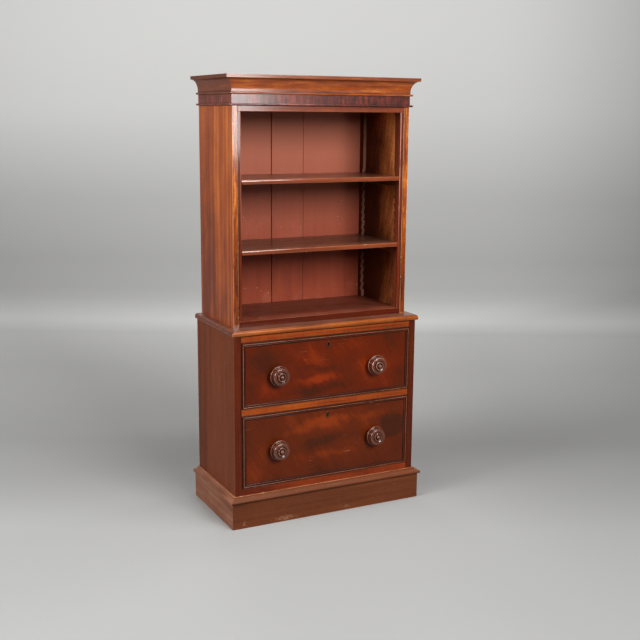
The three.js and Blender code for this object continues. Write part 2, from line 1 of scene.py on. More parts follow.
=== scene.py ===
"""Looks of the mahogany bookcase on its chest of two drawers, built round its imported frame.

Lengths are in metres, in the frame of the part: the floor is z = 0 and the front faces -Y.
"""

import json
import math

import bmesh
import bpy
import numpy as np
from mathutils import Matrix, Vector

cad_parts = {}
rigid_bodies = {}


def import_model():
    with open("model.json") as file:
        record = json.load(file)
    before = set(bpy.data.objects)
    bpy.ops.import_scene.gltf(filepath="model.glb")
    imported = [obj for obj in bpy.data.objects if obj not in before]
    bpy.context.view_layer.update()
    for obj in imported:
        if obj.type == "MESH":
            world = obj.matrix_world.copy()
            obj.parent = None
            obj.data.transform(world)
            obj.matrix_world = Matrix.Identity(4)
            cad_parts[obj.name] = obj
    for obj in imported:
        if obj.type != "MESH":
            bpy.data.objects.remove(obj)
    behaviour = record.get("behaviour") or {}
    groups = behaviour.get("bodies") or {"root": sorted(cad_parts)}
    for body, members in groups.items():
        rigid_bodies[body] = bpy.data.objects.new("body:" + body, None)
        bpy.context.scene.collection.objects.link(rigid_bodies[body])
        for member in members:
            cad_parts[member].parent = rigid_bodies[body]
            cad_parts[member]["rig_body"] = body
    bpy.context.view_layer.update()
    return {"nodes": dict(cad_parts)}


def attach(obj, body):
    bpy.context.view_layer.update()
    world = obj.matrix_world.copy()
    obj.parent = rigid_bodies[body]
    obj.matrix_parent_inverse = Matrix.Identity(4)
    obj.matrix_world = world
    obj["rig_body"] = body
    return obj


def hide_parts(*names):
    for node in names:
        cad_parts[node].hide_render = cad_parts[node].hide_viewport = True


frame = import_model()

MM = 0.001

# The two cases, in millimetres: half widths, and depths forward of the rear plane
CHEST_HALF, CHEST_DEPTH = 307.5, 309
FRIEZE_HALF, FRIEZE_DEPTH = 292.5, 269
REAR_Y = 0.1755
CHEST_FRONT_Y = REAR_Y - CHEST_DEPTH * MM
CASE_INNER = 0.2745
CASE_FLOOR_Z = 0.6215
CASE_CEILING_Z = 1.228

# Plinth, frieze and cornice sections, in millimetres out from their face
PLINTH_PROJECTION = 14.5
PLINTH_BLOCK_HEIGHT = 79
PLINTH_TOP = 99
FRIEZE_FOOT = 1244
CORNICE_FOOT = 1276
TOP = 1330
BEAD_HEIGHT = 6
BEAD_PROJECTION = 7.5
COVE_PROJECTION = 23

# Drawers: their front's finish and lot, their foot and height, and how far up their knobs sit
DRAWERS = {
    "lower_drawer": ("lower_front", 32.0, 0.120, 0.224, 0.1095),
    "upper_drawer": ("upper_front", 39.0, 0.367, 0.1985, 0.0925),
}
DRAWER_HALF = 0.2843
KNOB_X = {"left": -0.1695, "right": 0.1615}

# Where a drawer's moulding is painted: pale highlight lines on its bead crests, partly rubbing, and
# painted shade at its foot, in millimetres inward from its edge and proud of it
OUTER_BEAD_END = 6
OUTER_CREST, INNER_CREST = 4.46, 3.17
SHADED_FOOT = 2.0

# Where a knob's crests are painted pale as highlight rings, partly rubbing, and its grooves painted
# dark as shade: radius from and to, height off the drawer front from and to
KNOB_LIT_CRESTS = [(30.2, 99, -99, 99), (23.5, 99, 32.2, 34.4), (10, 13, 36.3, 99), (-1, 99, 41.5, 99)]
KNOB_SHADED_HOLLOWS = [(24.5, 26.2, 18.5, 99), (13.8, 17.1, 32, 99), (8, 9.3, 32, 99)]
KNOB_ENDS = (-16, 42)

# Racks: the inputs of their node tree, and where their outer edges stand
RACK_SIZES = {
    "Width": 0.024,
    "Thickness": 0.010,
    "Height": CASE_CEILING_Z - CASE_FLOOR_Z,
    "Notch Depth": 0.009,
    "Notch Pitch": 0.0256,
    "First Ledge": 0.022,
    "Notches": 16,
}
RACK_FRONT_Y = REAR_Y - 0.2565
RACK_BACK_Y = REAR_Y - 0.010

# How far an arris is eased, how far the marks at a corner reach, of rubbing, painted highlight and
# painted shade, and the turn that counts as an arris
ARRIS = 0.7
CORNER_MARK_BAND = 2.6
ARRIS_TURN = math.radians(24)

# A half size that keeps wear off a piece's ends, where its corners carry their own
NO_ENDS = 9.0

X, Y, Z = 0, 1, 2
FORWARD = (0, -1, 0)
SIDES = ("front", "left", "right")
WHITE = (1, 1, 1, 1)


def tint(*thousandths):
    """A colour as it is seen, in thousandths, as the shader's linear one."""
    def linear(value):
        return value / 12.92 if value <= 0.04045 else ((value + 0.055) / 1.055) ** 2.4
    return (*[linear(value / 1000) for value in thousandths], 1)


# Node helpers

class Wire:
    """An output socket that sums can be written with: each sign adds a maths node."""

    def __init__(self, socket):
        self.socket = socket
        self.tree = socket.id_data

    def __add__(self, other):
        return maths("ADD", self, other)

    def __sub__(self, other):
        return maths("SUBTRACT", self, other)

    def __mul__(self, other):
        return maths("MULTIPLY", self, other)


def put(tree, kind, inputs=None, **settings):
    """Adds a node. Its inputs take wires or plain values."""
    node = tree.nodes.new(kind)
    for key, value in settings.items():
        setattr(node, key, value)
    for key, value in (inputs or {}).items():
        if isinstance(value, Wire):
            tree.links.new(value.socket, node.inputs[key])
        else:
            node.inputs[key].default_value = value
    return node


def source(tree, kind, output=0, **settings):
    return Wire(put(tree, kind, **settings).outputs[output])


def feed(kind, inputs, output=0, **settings):
    """Adds a node to the tree that its wires come from and gives one of its outputs."""
    tree = next(value.tree for value in inputs.values() if isinstance(value, Wire))
    return Wire(put(tree, kind, inputs, **settings).outputs[output])


def wires(node):
    return {socket.name: Wire(socket) for socket in node.outputs}


def maths(operation, *values, clamp=False):
    """One step of a sum, on vectors where one of its values is a vector."""
    inputs = dict(enumerate(values))
    if any(isinstance(value, tuple) or is_vector(value) for value in values):
        output = "Value" if operation in ("LENGTH", "DOT_PRODUCT") else "Vector"
        return feed("ShaderNodeVectorMath", inputs, output, operation=operation)
    return feed("ShaderNodeMath", inputs, operation=operation, use_clamp=clamp)


def is_vector(value):
    return isinstance(value, Wire) and value.socket.type == "VECTOR"


def split(vector):
    return list(wires(put(vector.tree, "ShaderNodeSeparateXYZ", {0: vector})).values())


def turned(vector, angle):
    inputs = {"Vector": vector, "Angle": angle}
    return feed("ShaderNodeVectorRotate", inputs, rotation_type="Z_AXIS")


def noise(vector, detail=2.0, roughness=0.5, distortion=0.0, scale=1.0, output=0):
    inputs = {"Vector": vector, "Scale": scale, "Detail": detail, "Roughness": roughness}
    return feed("ShaderNodeTexNoise", {**inputs, "Distortion": distortion}, output)


def ease(value, low, high, to_low=0.0, to_high=1.0):
    inputs = {0: value, 1: low, 2: high, 3: to_low, 4: to_high}
    return feed("ShaderNodeMapRange", inputs, interpolation_type="SMOOTHSTEP")


def blend(factor, first, second, kind="MIX"):
    inputs = {0: factor, 6: first, 7: second}
    return feed("ShaderNodeMix", inputs, 2, data_type="RGBA", blend_type=kind)


def choose(factor, first, second):
    return feed("ShaderNodeMix", {0: factor, 2: first, 3: second})


SOCKET = "NodeSocket"
INPUT_KINDS = {float: "Float", int: "Int", tuple: "Color", type(None): "Material"}


def new_group(name, tree_kind, inputs, outputs):
    """An empty node group: inputs maps names to values, and outputs maps names to kinds."""
    tree = bpy.data.node_groups.new(name, tree_kind)
    for label, value in inputs.items():
        kind = SOCKET + INPUT_KINDS[type(value)]
        socket = tree.interface.new_socket(name=label, in_out="INPUT", socket_type=kind)
        if value is not None:
            socket.default_value = value
    for label, kind in outputs.items():
        tree.interface.new_socket(name=label, in_out="OUTPUT", socket_type=SOCKET + kind)
    return tree


def spaced(values):
    """Keywords as the names of inputs: their underscores stand for spaces."""
    return {key.replace("_", " "): value for key, value in values.items()}


def shared(name, outputs, **inputs):
    """Turns the function below it, which adds the nodes, into a node group that is built once."""
    def build(fill):
        kinds = {label: "Color" if label == "Color" else "Float" for label in outputs}
        tree = new_group(name, "ShaderNodeTree", spaced(inputs), kinds)
        given = wires(put(tree, "NodeGroupInput"))
        put(tree, "NodeGroupOutput", fill(tree, given))
        return tree
    return build


def use(tree, effect, **values):
    """Places a shared effect and gives its outputs."""
    return wires(put(tree, "ShaderNodeGroup", spaced(values), node_tree=effect))


def attribute(tree, name, output="Fac"):
    return source(tree, "ShaderNodeAttribute", output, attribute_name=name)


def object_place(tree):
    return source(tree, "ShaderNodeTexCoord", "Object")


def grain_place(tree):
    return attribute(tree, "grain", "Vector")


def own_place(tree):
    """Grain position in metres, moved by the piece's own lot, so that no two boards repeat."""
    lot = attribute(tree, "lot")
    moved = feed("ShaderNodeCombineXYZ", {0: lot * 1.731, 1: lot * 0.917, 2: lot * 0.577})
    return grain_place(tree) + moved


def stretched(place, along, across):
    """Noise coordinates with one unit every along metres down the grain and across metres over it."""
    if isinstance(along, Wire):
        unit = feed("ShaderNodeCombineXYZ", {0: along, 1: across, 2: across})
        return place * maths("DIVIDE", (1.0, 1.0, 1.0), unit)
    return place * (1 / along, 1 / across, 1 / across)


# Shared effects, and what lays them

@shared("Mahogany Figure", ("Color", "Pores", "Tone"), Pale=WHITE, Middle=WHITE, Deep=WHITE,
        Stripe_Width=0.012, Stripe_Length=0.5, Stripe_Strength=0.5, Wander=0.01,
        Cloud_Strength=0.6, Ripple_Strength=0.1, Pore_Depth=0.6, Lift=0.0, Slant=0.0)
def figure(tree, given):
    """Three tones, blended by stripes, fine lines, clouds, ripples and fibres, with dark pores."""
    place = turned(own_place(tree), given["Slant"])
    wander = noise(stretched(place, 0.22, 0.16), 1.0)
    swayed = place + feed("ShaderNodeCombineXYZ", {1: (wander - 0.5) * given["Wander"]})
    long, wide = given["Stripe Length"], given["Stripe Width"]
    strength = given["Stripe Strength"]
    parts = [
        (noise(stretched(swayed, long, wide), 2.0, 0.6), strength * 2.4),
        (noise(stretched(swayed, long, wide * 0.23), 2.0, 0.6), strength * 1.1),
        (noise(stretched(place, 0.16, 0.07)), given["Cloud Strength"]),
        (noise(stretched(place, 0.007, 0.045), 1.0), given["Ripple Strength"]),
        (noise(stretched(swayed, 0.022, 0.0007), 1.0), 0.25),
    ]
    tone = 0.5
    for part, weight in parts:
        tone = (part - 0.5) * weight + tone
    tone = tone + given["Lift"]
    colour = blend(ease(tone, 0.15, 0.52), given["Deep"], given["Middle"])
    colour = blend(ease(tone, 0.5, 0.9), colour, given["Pale"])
    pores = ease(noise(stretched(swayed, 0.006, 0.0005), 0.0), 0.6, 0.7)
    dark = blend(1.0, colour, (0.45, 0.4, 0.4, 1), "MULTIPLY")
    return {"Color": blend(pores * given["Pore Depth"], colour, dark), "Pores": pores, "Tone": tone}


@shared("Worn Arrises", ("Rubbed", "Chipped", "Dirt"), Width=0.003, Amount=0.6, Chips=0.6)
def rubbing_light_and_shade(tree, given):
    """Polish rubbed off along raised edges, painted highlights where a piece marks them, chips in them,
    and painted shade with some grubbiness in the hollows and seams.
    """
    room = attribute(tree, "reach", "Vector") - maths("ABSOLUTE", grain_place(tree))
    near = [ease(part, 0.0, given["Width"], 1.0, 0.0) for part in split(room)]
    edge = attribute(tree, "worn")
    for one, other in ((0, 1), (1, 2), (0, 2)):
        edge = maths("MAXIMUM", edge, maths("MINIMUM", near[one], near[other]))
    place = own_place(tree)
    patches = noise(place, 2.0, 0.6, scale=14)
    crumbs = noise(place, 3.0, 0.7, scale=170)
    rubbed = ease(edge * (patches * 1.1 + crumbs * 0.7), 0.45, 0.95)
    chips = ease(noise(place, 2.0, 0.6, scale=110), 0.63, 0.69)
    sparse = ease(noise(place, 1.0, scale=9), 0.48, 0.62)
    chipped = chips * (sparse * ease(edge, 0.35, 0.8))
    shade_soil_mask = attribute(tree, "grime") * ease(patches, 0.2, 0.6, 0.5, 1.0)
    return {"Rubbed": rubbed * given["Amount"], "Chipped": chipped * given["Chips"], "Dirt": shade_soil_mask}


@shared("Old French Polish", ("Roughness", "Height", "Scratched"), Dullness=0.36, Scratches=0.5)
def polish(tree, given):
    """Smeared, speckled and streaked gloss over a waved and dented surface, and scratches."""
    place = own_place(tree)
    smears = noise(stretched(place, 0.09, 0.035), 3.0, 0.6)
    specks = ease(noise(place, 1.0, scale=420), 0.66, 0.72)
    streaks = noise(stretched(place, 0.035, 0.0012), 2.0, 0.6)
    rough = (streaks - 0.5) * 0.1 + (given["Dullness"] + (smears - 0.5) * 0.28)
    rough = maths("MULTIPLY_ADD", specks, 0.15, rough, clamp=True)
    waves = noise(stretched(place, 0.06, 0.03))
    dents = ease(noise(place, scale=38), 0.7, 0.76)
    height = dents * -0.35 + (streaks * 0.12 + waves)
    lines = ease(noise(place * (22.0, 900.0, 900.0), 1.0, 0.5, 0.6), 0.73, 0.78)
    few = ease(noise(place, 1.0, scale=12), 0.5, 0.65)
    return {"Roughness": rough, "Height": height, "Scratched": lines * few * given["Scratches"]}


@shared("Settled Dust", ("Dust",), Amount=0.2)
def bloom(tree, given):
    """Dust that has settled on what faces up."""
    up = split(source(tree, "ShaderNodeNewGeometry", "Normal"))[Z]
    drift = noise(object_place(tree), 3.0, 0.6, scale=16)
    cover = ease(drift, 0.3, 0.75, 0.35, 1.0)
    return {"Dust": ease(up, 0.75, 1.0) * (cover * given["Amount"])}


@shared("Scuffs", ("Strokes",), Reach=0.0)
def scuffing(tree, given):
    """Short slanting scuffs, close together where Reach is high."""
    place = turned(grain_place(tree), math.radians(75))
    lines = noise(stretched(place, 0.007, 0.0013), 2.0, 0.7)
    return {"Strokes": ease(given["Reach"] * 0.2 + lines, 0.7, 0.76) * given["Reach"]}


def grained(tree, tones, stripe, run, strength, wander, clouds, ripples, pores=0.6, lift=0.0,
            slant=0):
    """The figure in its pale, middle and deep tone, with its lengths in millimetres."""
    pale, middle, deep = [tint(*tone) for tone in tones[:3]]
    return use(tree, figure, Pale=pale, Middle=middle, Deep=deep, Stripe_Width=stripe * MM,
               Stripe_Length=run * MM, Stripe_Strength=strength, Wander=wander * MM,
               Cloud_Strength=clouds, Ripple_Strength=ripples, Pore_Depth=pores, Lift=lift,
               Slant=math.radians(slant))


def layered(colour, layers):
    """Lays tints over a colour, each as far as its factor says."""
    for factor, tone in layers:
        colour = blend(factor, colour, tint(*tone))
    return colour


def patches_of(tree, centre, table, stirring=0.05):
    """Soft oval patches at (along, across, half length, half width, strength, turn) in mm.

    The turn may be left out."""
    place = grain_place(tree)
    stir = noise(place, 3.0, scale=16.0, output="Color") - (0.5,) * 3
    place = place + stir * ((stirring,) * 3)
    total = 0.0
    for along, across, long, wide, strength, *turn in table:
        middle = ((along - centre[0]) * MM, (across - centre[1]) * MM, 0)
        rate = (1 / (long * MM), 1 / (wide * MM), 0)
        angle = -math.radians(sum(turn))
        far = maths("LENGTH", turned(place - middle, angle) * rate)
        total = ease(far, 0.15, 1.25, strength, 0.0) + total
    return total


# Finishes, by name, and what all the polished woods share

finishes = {}
DUST = 0.1
RAW_WOOD = (740, 560, 420)


def new_material(name):
    """Adds an empty material to the finishes and gives its tree."""
    material = bpy.data.materials.new(name)
    material.use_nodes = True
    material.node_tree.nodes.clear()
    finishes[name] = material
    return material.node_tree


def finish_shader(tree, colour, roughness, height, distance, coat=0.0, blur=0.3, metallic=0.0,
                  specular=0.12):
    bump = feed("ShaderNodeBump", {"Strength": 1.0, "Distance": distance, "Height": height})
    shader = feed("ShaderNodeBsdfPrincipled", {
        "Base Color": colour,
        "Roughness": roughness,
        "Metallic": metallic,
        "Specular IOR Level": specular,
        "Coat Weight": coat,
        "Coat Roughness": blur,
        "Normal": bump,
    })
    put(tree, "ShaderNodeOutputMaterial", {0: shader})


def wood(name, tones, stripe, run, strength, wander=10, clouds=0.5, ripples=0.1, slant=0,
         dullness=0.34, coat=0.1, blur=0.16, specular=0.05, rub=0.5, rub_width=2.8, highlight_at=(),
         chips=1.0, raw=RAW_WOOD, scratches=0.5, unevenness=0.7, scuffs=(), centre=(0, 0),
         patches=()):
    """A polished wood: its figure, rubbed arrises and painted highlights, painted shade with some
    grubbiness in hollows and seams, scratches, dust and gloss.

    Its tones are pale, middle and deep, and one for rubbed arrises and painted highlights unless that
    is the pale one.
    Lengths are in millimetres, blur is the coat's, and a patch below zero is darker."""
    tree = new_material(name)
    lift = patches_of(tree, centre, patches) if patches else 0.0
    base = grained(tree, tones, stripe, run, strength, wander, clouds, ripples, lift=lift,
                   slant=slant)
    if highlight_at:
        rub = patches_of(tree, centre, highlight_at) * rub
    worn = use(tree, rubbing_light_and_shade, Width=rub_width * MM, Amount=rub, Chips=chips)
    gloss = use(tree, polish, Dullness=dullness, Scratches=scratches)
    dust = use(tree, bloom, Amount=DUST)["Dust"]
    scratched = gloss["Scratched"]
    if scuffs:
        strokes = use(tree, scuffing, Reach=patches_of(tree, centre, scuffs, 0.0))["Strokes"]
        scratched = maths("MAXIMUM", scratched, strokes)
    colour = layered(base["Color"], [
        # A dark tone in hollows and seams: painted shade, with some grubbiness.
        (worn["Dirt"] * 0.9, (100, 50, 35)),
        # The rubbed tone, which is also the painted highlight on the crests and edges that pieces mark.
        (worn["Rubbed"], (tones[3:] or tones)[0]),
        (scratched, (720, 520, 400)),
        (worn["Chipped"], raw),
        (dust, (620, 550, 500)),
    ])
    rough = dust * 0.4 + gloss["Roughness"]
    rough = maths("MULTIPLY_ADD", worn["Chipped"], 0.4, rough, clamp=True)
    height = worn["Chipped"] * -0.5 + (base["Pores"] * -0.06 + gloss["Height"])
    finish_shader(tree, colour, rough, height, unevenness * MM, coat, blur, specular=specular)


def bare_pine():
    """Unpolished pine, yellowed and grubby, for what is never seen from the front."""
    tree = new_material("bare_pine")
    base = grained(tree, [(700, 540, 360), (600, 430, 270), (470, 310, 180)], 11, 800, 0.55,
                   20, 0.4, 0.05, 0.15)
    worn = use(tree, rubbing_light_and_shade, Width=0.004, Amount=0.3, Chips=0.2)
    place = grain_place(tree)
    spread = {"Vector": stretched(own_place(tree), 0.19, 0.11), "Scale": 1.0, "Randomness": 1.0}
    knot = ease(feed("ShaderNodeTexVoronoi", spread, "Distance"), 0.05, 0.11, 1.0, 0.0)
    grubby = ease(noise(place, 4.0, 0.6, scale=7), 0.35, 0.7)
    colour = layered(base["Color"], [
        (knot * 0.7, (360, 200, 110)),
        (grubby * 0.35, (420, 310, 220)),
        (worn["Rubbed"], (450, 340, 240)),
    ])
    height = noise(stretched(place, 0.0016, 0.08), 1.0) * 0.3 + base["Tone"]
    finish_shader(tree, colour, ease(grubby, 0.0, 1.0, 0.62, 0.78), height, 0.0005)


def washed_pine():
    """The back boards' thin red-brown wash, brushed on upright and rubbed in places."""
    tree = new_material("washed_pine")
    base = grained(tree, [(590, 283, 182), (530, 228, 143), (440, 179, 109)], 16, 600, 0.22,
                   12, 0.5, 0.04, 0.25)
    worn = use(tree, rubbing_light_and_shade, Width=0.003, Amount=0.5, Chips=0.8)
    own = own_place(tree)
    brush = noise(stretched(own, 0.12, 0.0011), 2.0, 0.6)
    thin = ease(noise(own, 4.0, 0.65, scale=11), 0.5, 0.78)
    up = split(grain_place(tree))[0]
    specks = ease(noise(own, 1.0, scale=150), 0.72, 0.77)
    gathered = ease(noise(own, 1.0, scale=8), 0.52, 0.66)
    colour = layered(base["Color"], [
        (ease(brush, 0.3, 0.7, 0.0, 0.22), (460, 200, 140)),
        (thin * 0.3, (660, 380, 300)),
        # Paler towards the top of the boards: painted light, the top bay lit brighter than the lower
        # ones.
        (ease(up, -0.25, 0.3, 0.0, 0.9), (610, 350, 265)),
        (specks * gathered, (780, 620, 520)),
        (worn["Rubbed"], (480, 240, 180)),
    ])
    height = brush * 0.35 + base["Tone"]
    finish_shader(tree, colour, ease(brush, 0.3, 0.7, 0.5, 0.62), height, 0.0005, 0.05, 0.4)


def aged_brass():
    """Tarnished brass, rubbed bright at its edges."""
    tree = new_material("aged_brass")
    tarnish = noise(object_place(tree), 4.0, 0.65, scale=160)
    brown = ease(tarnish, 0.35, 0.65)
    colour = layered(tint(400, 260, 140), [
        (brown, (180, 100, 60)),
        (attribute(tree, "worn") * 0.6, (660, 560, 380)),
    ])
    rough = ease(tarnish, 0.3, 0.7, 0.3, 0.55)
    metal = ease(brown, 0.0, 1.0, 0.95, 0.75)
    finish_shader(tree, colour, rough, tarnish, 0.0003, metallic=metal, specular=0.5)


def dark_iron():
    """Iron with a bloom of rust."""
    tree = new_material("dark_iron")
    rust = noise(object_place(tree), 5.0, 0.7, scale=90)
    colour = layered(tint(250, 240, 230), [(ease(rust, 0.5, 0.72), (360, 220, 140))])
    rough = ease(rust, 0.3, 0.7, 0.38, 0.7)
    metal = ease(rust, 0.45, 0.7, 0.9, 0.35)
    finish_shader(tree, colour, rough, rust, 0.0003, metallic=metal, specular=0.5)


wood("case_side", [(720, 410, 200), (560, 280, 150), (400, 200, 140)], 15, 1100, 0.44, wander=16,
     clouds=0.65, dullness=0.42, blur=0.18, specular=0.08, rub=0.55, patches=[(330, -90, 420, 60, 0.2),
     (200, -30, 300, 70, 0.08), (-240, 90, 260, 80, -0.4), (-120, 20, 300, 40, -0.2, 4),
     (-300, -60, 130, 90, -0.16), (40, 90, 150, 70, -0.16)])
wood("stile", [(820, 464, 118), (499, 217, 50), (325, 122, 36), (860, 640, 440)], 6, 70, 0.42,
     wander=12, clouds=0.35, ripples=0.2, dullness=0.36, coat=0.8, blur=0.13, specular=0.08, chips=2.0,
     raw=(950, 780, 580), patches=[(70, -125, 200, 60, 0.1), (-235, -125, 170, 60, -0.16)])
# The pale pink tone on its edges, strongest on the upper part, is a painted highlight.
wood("strip", [(474, 185, 71), (365, 131, 50), (256, 85, 33), (820, 560, 470)], 6, 200, 0.35, wander=8,
     coat=0.5, blur=0.09, specular=0.08, rub=0.6, highlight_at=[(190, 0, 300, 90, 1.0)], chips=0.5)
wood("chest_side", [(468, 237, 132), (410, 201, 111), (342, 163, 94)], 26, 900, 0.5, wander=8,
     clouds=0.35, ripples=0.05, dullness=0.46, coat=0.05, blur=0.22, chips=0.5,
     patches=[(0, 120, 600, 90, -0.25)])
wood("chest_stile", [(385, 150, 58), (310, 113, 43), (230, 78, 35)], 7, 300, 0.4, wander=8,
     ripples=0.15, dullness=0.4, rub=0.4, chips=0.4)
wood("rail", [(666, 323, 109), (568, 247, 80), (421, 162, 63), (740, 420, 200)], 7, 420, 0.35,
     clouds=0.9, ripples=0.3, dullness=0.38, coat=0.12, rub=0.25, rub_width=4, chips=0.6)
wood("case_rail", [(580, 268, 107), (450, 188, 76), (320, 122, 54)], 7, 420, 0.35, ripples=0.3,
     dullness=0.36, coat=0.7, blur=0.14, specular=0.08, rub=0.6, chips=0.6)
wood("red_rail", [(576, 254, 95), (483, 186, 71), (353, 127, 56), (700, 360, 180)], 7, 420, 0.45,
     clouds=1.1, ripples=0.3, dullness=0.38, coat=0.12, rub=0.25, rub_width=4, chips=0.6,
     patches=[(-230, 0, 120, 60, -0.35)])
wood("ledge", [(497, 267, 158), (367, 178, 102), (258, 119, 74), (620, 380, 260)], 9, 500, 0.4,
     clouds=0.6, ripples=0.15, coat=0.3, specular=0.2, chips=0.6)
wood("chest_top", [(734, 412, 150), (530, 268, 92), (357, 165, 75), (840, 580, 380)], 9, 500, 0.4,
     clouds=0.6, ripples=0.15, coat=0.15, rub=0.7, chips=0.9)
wood("plinth", [(460, 249, 150), (385, 203, 115), (290, 142, 82), (680, 410, 260)], 18, 600, 0.3,
     dullness=0.5, coat=0.08, blur=0.25, rub=0.8, scratches=0.9, scuffs=[(-150, 34, 66, 13, 0.9),
     (-285, 38, 12, 16, 0.8), (60, 34, 30, 12, 0.7)])
# A paler, greyer copy of the plinth finish for its sides: painted sheen from the light at the left.
wood("plinth_side", [(600, 420, 330), (490, 310, 230), (400, 235, 165), (660, 440, 330)], 22, 240, 0.35,
     clouds=0.9, dullness=0.5, coat=0.08, blur=0.25, rub=0.9, scratches=1.0)
wood("cornice", [(700, 382, 140), (530, 245, 90), (360, 147, 65), (450, 240, 170)], 11, 90, 0.44,
     wander=26, ripples=0.12, dullness=0.36, coat=0.75, blur=0.14, specular=0.08, rub=0.6, chips=0.6)
# A paler, greyer copy of the cornice finish for its sides: painted sheen.
wood("cornice_side", [(500, 290, 210), (430, 245, 180), (350, 190, 140), (600, 340, 220)], 11, 120,
     0.35, wander=16, clouds=0.4, dullness=0.42, coat=0.08, specular=0.08, chips=0.5)
wood("frieze", [(485, 190, 125), (330, 124, 86), (203, 92, 66), (600, 340, 250)], 9, 45, 0.7, wander=3,
     clouds=1.0, ripples=0.5, dullness=0.32, coat=0.78, specular=0.08, rub=0.4, chips=0.3)
# A paler, greyer copy of the frieze finish for its sides: painted sheen.
wood("frieze_side", [(540, 290, 240), (420, 230, 190), (270, 150, 130), (600, 340, 250)], 8, 60, 0.7,
     wander=3, clouds=0.7, ripples=0.2, dullness=0.42, coat=0.08, specular=0.08, rub=0.4, chips=0.3)
wood("shelf", [(490, 250, 140), (375, 180, 105), (270, 125, 85), (740, 400, 220)], 10, 600, 0.35,
     coat=0.45, blur=0.12, specular=0.08, rub=0.75)
# A darker copy of the shelf finish: painted shade on the lower shelf.
wood("lower_shelf", [(405, 225, 120), (310, 162, 88), (220, 110, 70), (740, 400, 220)], 10, 600, 0.35,
     coat=0.35, blur=0.12, specular=0.08, rub=0.75, scuffs=[(20, -85, 40, 14, 0.8),
     (120, -100, 20, 10, 0.7)])
wood("shelf_edge", [(547, 250, 96), (442, 190, 76), (325, 135, 60), (740, 420, 240)], 6, 400, 0.35,
     clouds=0.6, dullness=0.3, coat=1.0, blur=0.06, specular=0.08, rub=0.9, chips=1.6)
wood("case_floor", [(497, 196, 82), (410, 149, 62), (292, 102, 44), (500, 250, 140)], 10, 600, 0.35,
     dullness=0.38, coat=0.15, specular=0.06, rub=0.4, chips=0.8, scuffs=[(-185, -95, 26, 12, 0.8),
     (0, -100, 18, 10, 0.75)])
wood("floor_edge", [(370, 125, 34), (300, 93, 24), (220, 66, 18), (660, 440, 340)], 7, 300, 0.4,
     clouds=0.6, dullness=0.38, coat=0.15, rub=0.6, rub_width=1.3)
# Painted light and shade: lighter near the front of the upper part with a slanting edge, and darker
# towards the back and the bottom.
wood("inner", [(860, 540, 290), (630, 350, 182), (360, 188, 104)], 7, 80, 0.3, wander=30, clouds=0.9,
     ripples=0.3, slant=12, dullness=0.42, coat=0.06, chips=0.4, patches=[(215, -90, 160, 60, 0.45, 20),
     (0, -110, 400, 30, 0.04), (0, 70, 900, 90, -0.4), (-200, 0, 260, 150, -0.24)])
wood("rack", [(520, 250, 140), (380, 170, 100), (260, 110, 70), (500, 340, 270)], 8, 300, 0.4,
     dullness=0.5, coat=0.05, rub=1.0)
wood("drawer_moulding", [(375, 163, 78), (280, 109, 50), (170, 64, 31), (860, 620, 470)], 5, 300, 0.4,
     clouds=0.4, dullness=0.3, coat=0.2, blur=0.08, specular=0.04, chips=0.7)
wood("knob", [(450, 245, 160), (340, 165, 100), (175, 80, 52), (760, 530, 420)], 4, 30, 0.35,
     dullness=0.2, coat=0.85, blur=0.06, rub=0.8, chips=0.4, scratches=0.1, unevenness=0.05)
wood("upper_front", [(490, 163, 40), (345, 110, 26), (249, 101, 40)], 7, 80, 0.14, wander=60,
     clouds=0.6, slant=58, dullness=0.32, blur=0.14, rub=0.3, chips=0.3, centre=(0, 466),
     patches=[(-35, 434, 90, 16, 0.4, 3), (180, 456, 100, 34, 0.2), (-60, 500, 60, 26, 0.16, -20),
     (60, 520, 70, 26, 0.1, 10), (-215, 415, 60, 24, 0.12), (-215, 500, 90, 60, -0.3, -8),
     (-30, 402, 110, 18, -0.3, 2), (-20, 466, 80, 13, -0.22, -8), (210, 530, 90, 40, -0.16),
     (-140, 480, 60, 50, -0.1), (250, 400, 40, 60, -0.14), (-250, 420, 40, 50, -0.22)])
wood("lower_front", [(480, 184, 50), (338, 126, 40), (245, 107, 50)], 7, 80, 0.12, wander=60,
     clouds=0.6, slant=58, dullness=0.32, blur=0.14, rub=0.3, chips=0.3, centre=(0, 232),
     patches=[(-50, 288, 120, 22, 0.24, 8), (40, 292, 90, 22, 0.15, 2), (172, 297, 50, 16, 0.24),
     (-12, 192, 130, 18, 0.2), (-230, 190, 60, 60, 0.16, 20), (0, 238, 100, 26, -0.32, 6),
     (-245, 300, 50, 50, -0.1), (235, 250, 50, 40, -0.58), (0, 140, 260, 22, -0.1),
     (110, 236, 50, 20, -0.15), (230, 160, 70, 50, -0.15)])
bare_pine()
washed_pine()
aged_brass()
dark_iron()


# Shaping helpers

def place_in_scene(name, data):
    thing = bpy.data.objects.new(name, data)
    bpy.context.scene.collection.objects.link(thing)
    return thing


def write_attribute(mesh, name, values):
    """Stores numbers or vectors, one for each corner."""
    values = np.asarray(values, np.float32)
    kind, field = ("FLOAT", "value") if values.ndim == 1 else ("FLOAT_VECTOR", "vector")
    mesh.attributes.new(name, kind, "POINT").data.foreach_set(field, values.ravel())


def lay_grain(mesh, along, across, lot, boxy=True):
    """Stores the grain position from the piece's middle, its half sizes and its lot."""
    order = [along, across, 3 - along - across]
    places = np.empty(len(mesh.vertices) * 3, np.float32)
    mesh.vertices.foreach_get("co", places)
    places = places.reshape(-1, 3)
    low, high = places.min(0), places.max(0)
    reach = ((high - low) / 2)[order] if boxy else np.full(3, NO_ENDS)
    write_attribute(mesh, "grain", (places - (low + high) / 2)[:, order])
    write_attribute(mesh, "reach", np.tile(reach, (len(places), 1)))
    write_attribute(mesh, "lot", np.full(len(places), lot))


